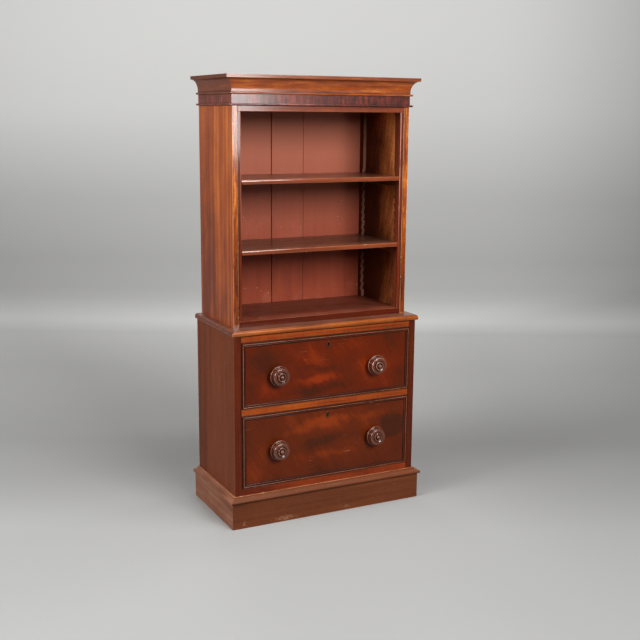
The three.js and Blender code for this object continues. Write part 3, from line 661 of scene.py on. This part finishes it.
def evaluated_mesh(thing):
    """A new mesh, as the object's modifiers leave it."""
    bpy.context.view_layer.update()
    graph = bpy.context.evaluated_depsgraph_get()
    return bpy.data.meshes.new_from_object(thing.evaluated_get(graph))


def settle_normals(piece):
    """Smooth curves with crisp flats: sharp edges by angle, then normals weighted by area."""
    piece.data.shade_smooth()
    piece.data.set_sharp_from_angle(angle=math.radians(32))
    modifier = piece.modifiers.new("weighted", "WEIGHTED_NORMAL")
    modifier.keep_sharp = True
    modifier.weight = 60
    settled = evaluated_mesh(piece)
    piece.modifiers.clear()
    piece.data = settled


def stand_in(mesh, node, finish, facing=()):
    """Makes the mesh the shown piece for a node: links it, paints it and lets it ride.

    facing gives the finish of the faces that look along a direction."""
    piece = place_in_scene(node + "_shown", mesh)
    settle_normals(piece)
    data = piece.data
    data.name = piece.name
    data.materials.clear()
    data.materials.append(finishes[finish])
    for number, (direction, other_finish) in enumerate(facing):
        data.materials.append(finishes[other_finish])
        for face in data.polygons:
            if face.normal.dot(Vector(direction)) > 0.6:
                face.material_index = number + 1
    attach(piece, frame["nodes"][node]["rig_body"])
    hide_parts(node)


def opened(mesh):
    shape = bmesh.new()
    shape.from_mesh(mesh)
    return shape


def store(shape, mesh):
    """Cuts up the faces with many sides and moves the shape into the mesh."""
    bmesh.ops.triangulate(shape, faces=[face for face in shape.faces if len(face.verts) > 4])
    shape.to_mesh(mesh)
    shape.free()


class Skin:
    """A closed mesh in the making: its faces, and its corners with their marks."""

    def __init__(self):
        self.places, self.faces = [], []
        self.marks = {"worn": [], "grime": [], "lot": [], "grain": []}

    def corner(self, place, *marks):
        """Adds a corner with its rubbing and painted highlight, its painted shade and grubbiness, lot
        and grain position, and gives its number.
        """
        self.places.append(place)
        for values, value in zip(self.marks.values(), marks):
            values.append(value)
        return len(self.places) - 1

    def sweep(self, rows):
        """Joins each row of corners to the next and closes both ends."""
        for one, other in zip(rows, rows[1:]):
            for i in range(len(one)):
                corners = (one[i - 1], one[i], other[i], other[i - 1])
                self.faces.append(tuple(dict.fromkeys(corners)))
        self.faces += [end for end in (rows[0], rows[-1]) if len(set(end)) > 2]

    def mesh(self, name):
        mesh = bpy.data.meshes.new(name)
        mesh.from_pydata(self.places, [], self.faces)
        shape = opened(mesh)
        bmesh.ops.recalc_face_normals(shape, faces=shape.faces)
        store(shape, mesh)
        for label, values in self.marks.items():
            write_attribute(mesh, label, values)
        write_attribute(mesh, "reach", np.full((len(self.places), 3), NO_ENDS))
        return mesh


def score(shape, axis, at):
    """Cuts the faces along a plane square to the axis, so that a mark can end there."""
    place, normal = Vector((0, 0, 0)), Vector((0, 0, 0))
    place[axis], normal[axis] = at, 1
    everything = [*shape.verts, *shape.edges, *shape.faces]
    bmesh.ops.bisect_plane(shape, geom=everything, plane_co=place, plane_no=normal, dist=1e-6)


def mark_front_edge(shape, label, axis, end, width, fade=0.8):
    """Marks the front face's edge at one end of the axis, to a width, as the label says: a painted
    shade line along a seam, or a pale line of rubbing and painted highlight.
    """
    front = min(corner.co[Y] for corner in shape.verts)
    edge = (min if end < 0 else max)(corner.co[axis] for corner in shape.verts)
    for reach in (width, width + fade):
        score(shape, axis, edge - end * reach * MM)
    score(shape, Y, front + 5 * MM)
    layer = shape.verts.layers.float.get(label) or shape.verts.layers.float.new(label)
    for corner in shape.verts:
        near = abs(corner.co[axis] - edge) < (width + 0.05) * MM
        if near and corner.co[Y] < front + 1.2 * MM:
            corner[layer] = 1.0


def flatten_nose(shape, reach, share):
    """Draws the front rounding of a board back to a share of its depth."""
    front = min(corner.co[Y] for corner in shape.verts)
    for corner in shape.verts:
        if corner.co[Y] < front + reach * MM:
            corner.co[Y] = front + (corner.co[Y] - front) * share


def board(node, finish, along, across, lot, arris=ARRIS, shortest=4.0, facing=(), edges=(),
          nose=None):
    """A copy of a node's solid with its raised arrises eased, as planed boards are.

    edges holds what mark_front_edge takes, and nose what flatten_nose takes."""
    shape = opened(frame["nodes"][node].data)
    bmesh.ops.remove_doubles(shape, verts=shape.verts, dist=1e-6)
    bmesh.ops.dissolve_limit(
        shape, angle_limit=math.radians(0.5), use_dissolve_boundaries=False,
        verts=shape.verts, edges=shape.edges,
    )
    if nose:
        flatten_nose(shape, *nose)
    raised = [
        edge for edge in shape.edges
        if len(edge.link_faces) == 2 and edge.is_convex
        and edge.calc_face_angle() > ARRIS_TURN and edge.calc_length() > shortest * MM
    ]
    bmesh.ops.bevel(
        shape, geom=raised, offset=arris * MM, segments=3, profile=0.5, affect="EDGES",
        clamp_overlap=False, loop_slide=True,
    )
    for edge in edges:
        mark_front_edge(shape, *edge)
    mesh = bpy.data.meshes.new(node)
    store(shape, mesh)
    lay_grain(mesh, along, across, lot)
    stand_in(mesh, node, finish, facing)


def arc(centre, radii, start, end, steps=14):
    angles = [math.radians(start + (end - start) * step / steps) for step in range(steps + 1)]
    return [(centre[0] + radii[0] * math.cos(angle), centre[1] + radii[1] * math.sin(angle))
            for angle in angles]


def eased_outline(points, arris=ARRIS, closed=True):
    """Eases an outline's arrises and gives (place, rubbing, painted shade with grubbiness, way round)
    for its points.

    Raised corners are marked as rubbed, and hollow ones get painted shade with some grubbiness."""
    points = [Vector(point) for point in points]
    count = len(points)
    turning = sum(points[i - 1].cross(points[i]) for i in range(count))
    side = 1 if turning > 0 else -1
    eased = []
    for i, point in enumerate(points):
        back = points[i - 1] - point
        ahead = points[(i + 1) % count] - point
        at_end = not closed and i in (0, count - 1)
        turn = 0 if at_end else (-back).angle_signed(ahead) * -side
        if abs(turn) < ARRIS_TURN:
            eased.append((point, 0.0, 0.0))
            continue
        raised = 1.0 if turn > 0 else 0.0
        cut = min(arris, 0.35 * back.length, 0.35 * ahead.length)
        start, end = point + back.normalized() * cut, point + ahead.normalized() * cut
        if back.length > 2.4 * CORNER_MARK_BAND:
            eased.append((point + back.normalized() * CORNER_MARK_BAND, 0.0, 0.0))
        for share, level in ((0.0, 0.8), (0.33, 1.0), (0.67, 1.0), (1.0, 0.8)):
            place = start.lerp(point, share).lerp(point.lerp(end, share), share)
            eased.append((place, level * raised, level * (1 - raised)))
        if ahead.length > 2.4 * CORNER_MARK_BAND:
            eased.append((point + ahead.normalized() * CORNER_MARK_BAND, 0.0, 0.0))
    way, last, measured = 0.0, eased[0][0], []
    for place, worn, shade_soil_level in eased:
        way += (place - last).length
        last = place
        measured.append((place, worn, shade_soil_level, way * MM))
    return measured


def run_stations(length, step=22.0):
    """Shares of a run's length at which it gets a row of corners, with a band at each end."""
    count = max(2, int(length / step))
    inner = [i / count for i in range(1, count)]
    band = CORNER_MARK_BAND / length
    return sorted({0.0, band, *inner, 1 - band, 1.0})


def mitred_run(name, side, profile, half, depth, lot, upright_grain=False, darkened_beyond=math.inf):
    """One side of a moulded frame: its section swept along, cut on the mitres at its corners.

    What juts out more than the given limit is painted darker."""
    outline = eased_outline(profile)
    skin, rows = Skin(), []
    for share in run_stations(2 * half if side == "front" else depth):
        row = []
        for (out, z), worn, grime, over in outline:
            corner = (half + out) * MM
            front = REAR_Y - (depth + out) * MM
            if side == "front":
                x = run = (2 * share - 1) * corner
                y = front
            else:
                x = corner if side == "right" else -corner
                y = run = front + (REAR_Y - front) * share
            if out > 0 and (share == 0.0 or share == 1.0 and side == "front"):
                worn = 0.9
            if out > darkened_beyond:
                grime = max(grime, 0.45)
            grain = (over, run, 0) if upright_grain else (run, over, 0)
            row.append(skin.corner((x, y, z * MM), worn, grime, lot, grain))
        rows.append(row)
    skin.sweep(rows)
    stand_in(skin.mesh(name), f"{name}_{side}", name if side == "front" else name + "_side")


def plinth_profile():
    nose_centre = (2.5, PLINTH_BLOCK_HEIGHT + 7)
    nose = arc(nose_centre, (5, 5), -80, 80)
    ledge = -PLINTH_PROJECTION + 6
    hollow_top = PLINTH_TOP - 2.5
    foot_out, foot_z = nose[-1]
    hollow = arc((foot_out, hollow_top), (foot_out - ledge, hollow_top - foot_z), 270, 180)
    return [
        (-21, 0), (0, 0), (0, PLINTH_BLOCK_HEIGHT), *nose, *hollow[1:], (ledge, PLINTH_TOP),
        (-PLINTH_PROJECTION, PLINTH_TOP), (-PLINTH_PROJECTION, PLINTH_BLOCK_HEIGHT),
        (-21, PLINTH_BLOCK_HEIGHT),
    ]


def bead(foot):
    radius = BEAD_HEIGHT / 2
    return arc((BEAD_PROJECTION - radius, foot + radius), (radius, radius), -90, 90, 10)


def frieze_profile():
    return [
        (-20, FRIEZE_FOOT), *bead(FRIEZE_FOOT), (0, FRIEZE_FOOT + BEAD_HEIGHT),
        (0, CORNICE_FOOT), (-20, CORNICE_FOOT),
    ]


def cornice_profile():
    cove_foot = CORNICE_FOOT + BEAD_HEIGHT + 5
    cove_top = TOP - 10
    cove = arc((22, cove_foot), (21, cove_top - cove_foot), 180, 90, 18)
    return [
        (-20, CORNICE_FOOT), *bead(CORNICE_FOOT), (1, CORNICE_FOOT + BEAD_HEIGHT), *cove,
        (24, cove_top), (24, TOP), (-10, TOP), (-10, TOP - 10), (-20, TOP - 10),
    ]


def moulding_profile():
    outer = arc((3.9, 1), (2.3, 3.5), 180, 0, 22)
    inner = arc((9.1, 1), (2.1, 2.2), 180, 0, 22)
    return [(0, 0), (0, 1), *outer, *inner, (13, 0.6), (13, 0)]


def moulding_highlight(inward, proud):
    """The top of the outer bead is painted pale as a highlight line, partly rubbing, and less so that
    of the inner one.
    """
    if inward < OUTER_BEAD_END:
        return 0.9 if proud > OUTER_CREST else 0.0
    return 0.25 if proud > INNER_CREST else 0.0


def drawer_moulding(name, foot, height, lot):
    """Four beaded strips, mitred round a drawer's edge, in one piece."""
    outline = eased_outline(moulding_profile(), arris=0.3)
    middle = foot + height / 2
    skin = Skin()
    for number, (upright, sign) in enumerate([(0, 1), (1, 1), (0, -1), (1, -1)]):
        long, short = (height / 2, DRAWER_HALF) if upright else (DRAWER_HALF, height / 2)
        rows = []
        for share in run_stations(2 * long / MM, 30.0):
            row = []
            for (inward, proud), _, grime, over in outline:
                along = (2 * share - 1) * (long - inward * MM)
                across = sign * (short - inward * MM)
                x, z = (across, along) if upright else (along, across)
                place = (x, CHEST_FRONT_Y - proud * MM, middle + z)
                # Bead crests painted pale as highlight lines, and the foot painted dark as the shade in
                # the gap round the drawer.
                worn = moulding_highlight(inward, proud)
                grime = 1.0 if proud < SHADED_FOOT else grime
                row.append(skin.corner(place, worn, grime, lot + number, (along, over, 0)))
            rows.append(row)
        skin.sweep(rows)
    stand_in(skin.mesh(name), name + "_moulding", "drawer_moulding")


def knob_profile():
    """A knob's half section as (radius, height off the drawer front), spigot's end to tip."""
    end, tip = KNOB_ENDS
    rim = arc((28.75, 17.25), (2.25, 2.25), -90, 90, 10)
    collar = arc((22.4, 26), (4.4, 8.6), -38, 90, 12)
    ring = arc((11.6, 34.2), (2.5, 2.4), 0, 180, 10)
    button = arc((0, 35.4), (6.8, 6.6), 0, 90, 10)
    return [
        (0, end), (8, end), (8, 0), (15, 0), (15, 3), (11.5, 8), *rim, (25.6, 19.2),
        (24.8, 20.4), *collar, (17, 34.2), (14.9, 32.8), *ring, (8.2, 33.4), *button[:-1],
        (0, tip),
    ]


def in_zone(zones, radius, height):
    return any(inner < radius < outer and low < height < high
               for inner, outer, low, high in zones)


def turned_knob(node, x, z, lot, around=80):
    """A knob, as its half section turned round: its crests painted pale as highlight rings, partly
    rubbing, and its hollows painted dark as shade.
    """
    skin, rings = Skin(), []
    middle = sum(KNOB_ENDS) / 2
    for (radius, height), worn, grime, _ in eased_outline(knob_profile(), 0.5, closed=False):
        # Painted highlight rings on the crests and painted shade in the grooves.
        worn = max(worn * 0.4, 0.66 * in_zone(KNOB_LIT_CRESTS, radius, height))
        grime = max(grime, 0.75 * in_zone(KNOB_SHADED_HOLLOWS, radius, height))
        ring = []
        for i in range(around if radius > 1e-6 else 1):
            angle = 2 * math.pi * i / around
            across, up = radius * math.sin(angle) * MM, radius * math.cos(angle) * MM
            place = (x + across, CHEST_FRONT_Y - height * MM, z + up)
            grain = ((middle - height) * MM, across, up)
            ring.append(skin.corner(place, worn, grime, lot, grain))
        rings.append(ring if len(ring) > 1 else ring * around)
    skin.sweep(rings)
    stand_in(skin.mesh(node), node, "knob")


# The racks: a geometry nodes tree turns a few lengths into the saw-tooth board

def rack_tree():
    """A line of corners, two for each notch, that is closed, filled and thickened."""
    tree = new_group("Saw Tooth Rack", "GeometryNodeTree", {**RACK_SIZES, "Finish": None},
                     {"Geometry": "Geometry"})
    given = wires(put(tree, "NodeGroupInput"))
    index = source(tree, "GeometryNodeInputIndex")
    last = given["Notches"] * 2.0 + 2.0
    points = feed("GeometryNodeMeshLine", {"Count": last + 3.0})
    step = index - 2.0
    tooth = maths("MINIMUM", maths("FLOOR", step * 0.5), given["Notches"])
    in_notch = maths("FLOORED_MODULO", step, 2.0)
    ledge = tooth * given["Notch Pitch"] + given["First Ledge"]
    out = given["Width"] - in_notch * given["Notch Depth"]
    at_foot = maths("LESS_THAN", index, 1.5)
    at_head = maths("GREATER_THAN", index, last + 0.5)
    high = choose(at_head, choose(at_foot, ledge, 0.0), given["Height"])
    wide = choose(maths("MAXIMUM", at_foot, at_head), out, given["Width"])
    at_back = maths("LESS_THAN", index, 0.5) + maths("GREATER_THAN", index, last + 1.5)
    place = feed("ShaderNodeCombineXYZ", {0: choose(at_back, wide, 0.0), 1: high})
    laid = feed("GeometryNodeSetPosition", {"Geometry": points, "Position": place})
    curve = feed("GeometryNodeMeshToCurve", {0: laid})
    ring = feed("GeometryNodeSetSplineCyclic", {"Geometry": curve, "Cyclic": True})
    face = feed("GeometryNodeFillCurve", {"Curve": ring}, mode="NGONS")
    pull = {"Mesh": face, "Offset Scale": given["Thickness"], "Individual": False}
    both = put(tree, "GeometryNodeJoinGeometry", {0: feed("GeometryNodeFlipFaces", {0: face})})
    tree.links.new(feed("GeometryNodeExtrudeMesh", pull).socket, both.inputs[0])
    merged = {0: Wire(both.outputs[0]), "Distance": 1e-6}
    real = feed("GeometryNodeRealizeInstances", {0: feed("GeometryNodeMergeByDistance", merged)})
    done = feed("GeometryNodeSetMaterial", {"Geometry": real, "Material": given["Finish"]})
    put(tree, "NodeGroupOutput", {0: done})
    return tree


def rack(node, tree, matrix, lot):
    """A rack made flat by the tree, then stood up in its corner."""
    maker = place_in_scene(node, bpy.data.meshes.new(node))
    modifier = maker.modifiers.new("rack", "NODES")
    modifier.node_group = tree
    values = {**RACK_SIZES, "Finish": finishes["rack"]}
    for item in tree.interface.items_tree:
        if item.in_out == "INPUT":
            modifier[item.identifier] = values[item.name]
    mesh = evaluated_mesh(maker)
    bpy.data.objects.remove(maker)
    mesh.transform(matrix)
    shape = opened(mesh)
    # Every rim is painted pale, the highlight line along the teeth, partly rubbing; the inset broad
    # faces stay unmarked.
    worn = shape.verts.layers.float.new("worn")
    bmesh.ops.recalc_face_normals(shape, faces=shape.faces)
    for corner in shape.verts:
        corner[worn] = 1.0
    broad = [face for face in shape.faces if len(face.verts) > 4]
    bmesh.ops.inset_individual(shape, faces=broad, thickness=0.7 * MM, use_even_offset=True)
    for face in broad:
        for corner in face.verts:
            corner[worn] = 0.0
    shape.to_mesh(mesh)
    shape.free()
    lay_grain(mesh, Z, Y, lot, boxy=False)
    stand_in(mesh, node, "rack")


# Pieces

def make_plinth():
    half, depth = CHEST_HALF + PLINTH_PROJECTION, CHEST_DEPTH + PLINTH_PROJECTION
    for number, side in enumerate(SIDES):
        mitred_run("plinth", side, plinth_profile(), half, depth, 1.3 + number)
    board("plinth_back", "bare_pine", X, Z, 4.1)


def make_top_mouldings():
    half, depth = FRIEZE_HALF, FRIEZE_DEPTH
    for number, side in enumerate(SIDES):
        mitred_run("frieze", side, frieze_profile(), half, depth, 5.2 + number,
                   upright_grain=True)
        mitred_run("cornice", side, cornice_profile(), half, depth, 8.6 + number,
                   darkened_beyond=COVE_PROJECTION)
    board("dust_top_board", "bare_pine", X, Y, 11.4)


def make_carcass():
    # The dark edge lines marked below are painted shade in the seams: the chest stiles by the drawers,
    # and the case stiles and strips where they meet.
    for hand, lot, inward in (("left", 12.0, 1), ("right", 13.7, -1)):
        board("chest_side_" + hand, "chest_side", Z, Y, lot,
              facing=[(FORWARD, "chest_stile")], edges=[("grime", X, inward, 1.2)])
        board("case_side_" + hand, "case_side", Z, Y, lot + 3,
              facing=[((inward, 0, 0), "inner"), (FORWARD, "stile")],
              edges=[("grime", X, inward, 1.3), ("worn", X, -inward, 0.7, 1.2)])
        # The strip's inner edge is painted pale as a highlight line, partly rubbing, and its outer edge
        # dark as the shade in the recess by the stile.
        board("corner_strip_" + hand, "strip", Z, Y, lot + 5, arris=0.4,
              edges=[("grime", X, -inward, 2.6), ("worn", X, inward, 2.2, 1.0)])
    # The rails' dark edge lines are painted shade: in the gaps round the drawers and under the ledge's
    # nose.
    board("chest_bottom_board", "red_rail", X, Z, 20.3, edges=[("grime", Z, 1, 1.6)])
    board("drawer_divider_rail", "rail", X, Z, 21.9,
          edges=[("grime", Z, 1, 1.4), ("grime", Z, -1, 1.8)])
    board("chest_top_rail", "rail", X, Z, 22.8,
          edges=[("grime", Z, 1, 3.2), ("grime", Z, -1, 1.8)])
    board("chest_top", "ledge", X, Y, 23.5, facing=[(FORWARD, "chest_top")])
    board("case_bottom_board", "case_floor", X, Y, 24.4, facing=[(FORWARD, "floor_edge")])
    # Its dark top edge is painted shade under the frieze bead.
    board("case_top_board", "case_rail", X, Y, 25.1, edges=[("grime", Z, 1, 1.6)])
    board("dust_board", "bare_pine", X, Y, 26.2)
    board("chest_back", "bare_pine", X, Z, 27.6)
    for number, place in enumerate(("left", "centre", "right")):
        board("back_board_" + place, "washed_pine", Z, X, 28.2 + number)


def make_drawers():
    for name, (front, lot, foot, height, knobs) in DRAWERS.items():
        board(name + "_front", front, X, Z, lot)
        drawer_moulding(name, foot, height, lot + 0.4)
        for hand, x in KNOB_X.items():
            turned_knob(f"{name}_knob_{hand}", x, foot + knobs, lot + (1.1 if x > 0 else 2.3))
            board(f"{name}_side_{hand}", "bare_pine", Y, Z, lot + (3.1 if x > 0 else 4.2))
        board(name + "_bottom", "bare_pine", X, Y, lot + 5.3)
        board(name + "_back", "bare_pine", X, Z, lot + 5.9)
        board(name + "_escutcheon", "aged_brass", Z, X, lot, arris=0.25, shortest=0.0)
        board(name + "_lock_case", "dark_iron", X, Z, lot, arris=0.4)
        board(name + "_lock_bolt", "aged_brass", Z, X, lot, arris=0.4)


def make_shelves_and_racks():
    shelves = [("upper_shelf", "shelf"), ("lower_shelf", "lower_shelf")]
    for number, (name, finish) in enumerate(shelves):
        board(name, finish, X, Y, 50.0 + number, facing=[(FORWARD, "shelf_edge")],
              nose=(6.0, 0.35))
        for hand in ("left", "right"):
            board(f"{name}_bearer_{hand}", "inner", Y, Z, 52.0 + number)
    tree = rack_tree()
    for hand, sign in (("left", -1), ("right", 1)):
        for place, y, forward in (("front", RACK_FRONT_Y, 1), ("back", RACK_BACK_Y, -1)):
            turn = Matrix((
                (0, 0, -sign, sign * CASE_INNER),
                (forward, 0, 0, y),
                (0, 1, 0, CASE_FLOOR_Z),
                (0, 0, 0, 1),
            ))
            rack(f"shelf_rack_{place}_{hand}", tree, turn, 60.0 + sign + forward * 3)


make_plinth()
make_top_mouldings()
make_carcass()
make_drawers()
make_shelves_and_racks()


# Studio

HEADING = Vector((0.4520, 0.8920, 0))
CAMERA_PLACE = Vector((-1.3808, -2.8007, 1.2237))
CAMERA_LOOK = Vector((0.44292, 0.87408, -0.19950))
CAMERA_ROLL = math.radians(0.465)
LENS = 57.09

# The backdrop's grey in thousandths, at tenths of the metres along it from under the camera: painted
# light and shade, darker round the piece and brightest where the floor curves up into the wall
BACKDROP_GREYS = [
    (0.24, 596), (0.285, 603), (0.313, 578), (0.33, 565), (0.369, 568), (0.392, 617), (0.419, 676),
    (0.449, 736), (0.484, 796), (0.525, 887), (0.555, 955), (0.585, 946), (0.6, 862), (0.613, 783),
    (0.625, 738), (0.654, 705), (0.677, 725), (0.7, 754), (0.717, 790), (0.755, 857), (0.792, 879),
    (0.9, 918),
]


def make_camera():
    data = bpy.data.cameras.new("camera")
    data.lens = LENS
    data.sensor_width = 36
    camera = place_in_scene("camera", data)
    look = CAMERA_LOOK.normalized()
    level = look.cross(Vector((0, 0, 1))).normalized()
    upright = level.cross(look)
    right = math.cos(CAMERA_ROLL) * level + math.sin(CAMERA_ROLL) * upright
    up = -math.sin(CAMERA_ROLL) * level + math.cos(CAMERA_ROLL) * upright
    turn = Matrix((right, up, -look)).transposed().to_4x4()
    camera.matrix_world = Matrix.Translation(CAMERA_PLACE) @ turn
    bpy.context.scene.camera = camera


def seen_directly(tree):
    """One where the studio is looked at, mirrored or seen through glass, and zero for its light."""
    ray = wires(put(tree, "ShaderNodeLightPath"))
    seen = maths("MAXIMUM", ray["Is Camera Ray"], ray["Is Glossy Ray"])
    return maths("MAXIMUM", seen, ray["Is Transmission Ray"])


def backdrop_colour(tree, start, across):
    """Greys along the floor and up the wall, with painted light and shade: dimmer to the right, and
    dimmer still on the right of the floor.
    """
    place = object_place(tree)
    far = maths("DOT_PRODUCT", place, HEADING) + split(place)[Z]
    path = far - start.dot(HEADING)
    ramp = put(tree, "ShaderNodeValToRGB", {0: path * 0.1})
    elements = ramp.color_ramp.elements
    elements[0].position, elements[1].position = BACKDROP_GREYS[0][0], BACKDROP_GREYS[-1][0]
    for position, _ in BACKDROP_GREYS[1:-1]:
        elements.new(position)
    for element, (_, grey) in zip(elements, BACKDROP_GREYS):
        element.color = tint(grey, grey, grey * 0.99)
    side = maths("DOT_PRODUCT", place, across)
    # Painted dimming of the light towards the right.
    painted_dimming = ease(side, -3.0, 0.9, 1.09, 0.93) * ease(side, 1.0, 2.8, 1.0, 0.6)
    floor_right = side - ease(path, 5.6, 6.5, 0.0, 1.6)
    painted_dimming = painted_dimming * ease(floor_right, 0.25, 0.95, 1.0, 0.88)
    colour = blend(1.0, Wire(ramp.outputs[0]), painted_dimming, "MULTIPLY")
    return blend(seen_directly(tree), tint(420, 420, 420), colour)


def make_backdrop():
    """A pale grey floor that curves up into a wall behind the piece."""
    wall, radius, high, wide = 6.3, 0.7, 5.0, 9.0
    section = [(-6.0, 0.0), (0.0, 0.0), (2.0, 0.0), (4.0, 0.0), (wall - radius, 0.0)]
    section += arc((wall - radius, radius), (radius, radius), -90, 0, 16)[1:]
    section.append((wall, high))
    across = Vector((HEADING.y, -HEADING.x, 0))
    start = Vector((CAMERA_PLACE.x, CAMERA_PLACE.y, 0))
    points = []
    for far, up in section:
        middle = start + HEADING * far + Vector((0, 0, up))
        points += [middle - across * wide, middle + across * wide]
    faces = [(i, i + 1, i + 3, i + 2) for i in range(0, len(points) - 2, 2)]
    mesh = bpy.data.meshes.new("backdrop")
    mesh.from_pydata(points, [], faces)
    mesh.shade_smooth()
    tree = new_material("backdrop")
    colour = backdrop_colour(tree, start, across)
    shader = feed("ShaderNodeBsdfPrincipled", {"Base Color": colour, "Roughness": 0.8})
    put(tree, "ShaderNodeOutputMaterial", {0: shader})
    mesh.materials.append(finishes["backdrop"])
    place_in_scene("backdrop", mesh)


def make_light(name, place, aim, width, height, watts, spread=180, mirrored=True):
    data = bpy.data.lights.new(name, "AREA")
    data.shape = "RECTANGLE"
    data.size, data.size_y = width, height
    data.energy = watts
    data.spread = math.radians(spread)
    light = place_in_scene(name, data)
    light.location = place
    light.rotation_euler = (Vector(aim) - Vector(place)).to_track_quat("-Z", "Y").to_euler()
    light.visible_camera = False
    light.visible_glossy = mirrored


def make_lights():
    make_light("soft_box", (0.32, -2.95, 2.06), (0.32, 0.0, 1.56), 1.25, 1.22, 112)
    make_light("soft_box_side", (1.12, -2.95, 2.0), (1.12, 0.0, 1.55), 0.35, 0.8, 19)
    make_light("low_strip", (0.88, -2.95, 1.22), (0.88, 0.0, 1.22), 0.3, 0.46, 8.3)
    make_light("left_fill", (-3.3, -0.5, 1.9), (0, 0, 0.9), 1.2, 1.5, 118)
    make_light("overhead", (-0.1, -0.7, 3.6), (0, -0.2, 0), 2.8, 0.6, 76)
    make_light("right_fill", (2.7, 0.35, 0.9), (0.3, 0.05, 0.8), 0.7, 0.6, 6, 50, False)
    make_light("rear_fill", (0.3, 2.5, 0.9), (0.0, 0.17, 0.8), 0.8, 0.6, 5, 50, False)
    world = bpy.data.worlds.new("studio")
    bpy.context.scene.world = world
    world.use_nodes = True
    sky = world.node_tree.nodes["Background"]
    sky.inputs["Color"].default_value = tint(560, 560, 555)
    level = seen_directly(world.node_tree) * 0.9 + 0.1
    world.node_tree.links.new(level.socket, sky.inputs["Strength"])


make_camera()
make_backdrop()
make_lights()
bpy.context.scene.view_settings.view_transform = "Standard"
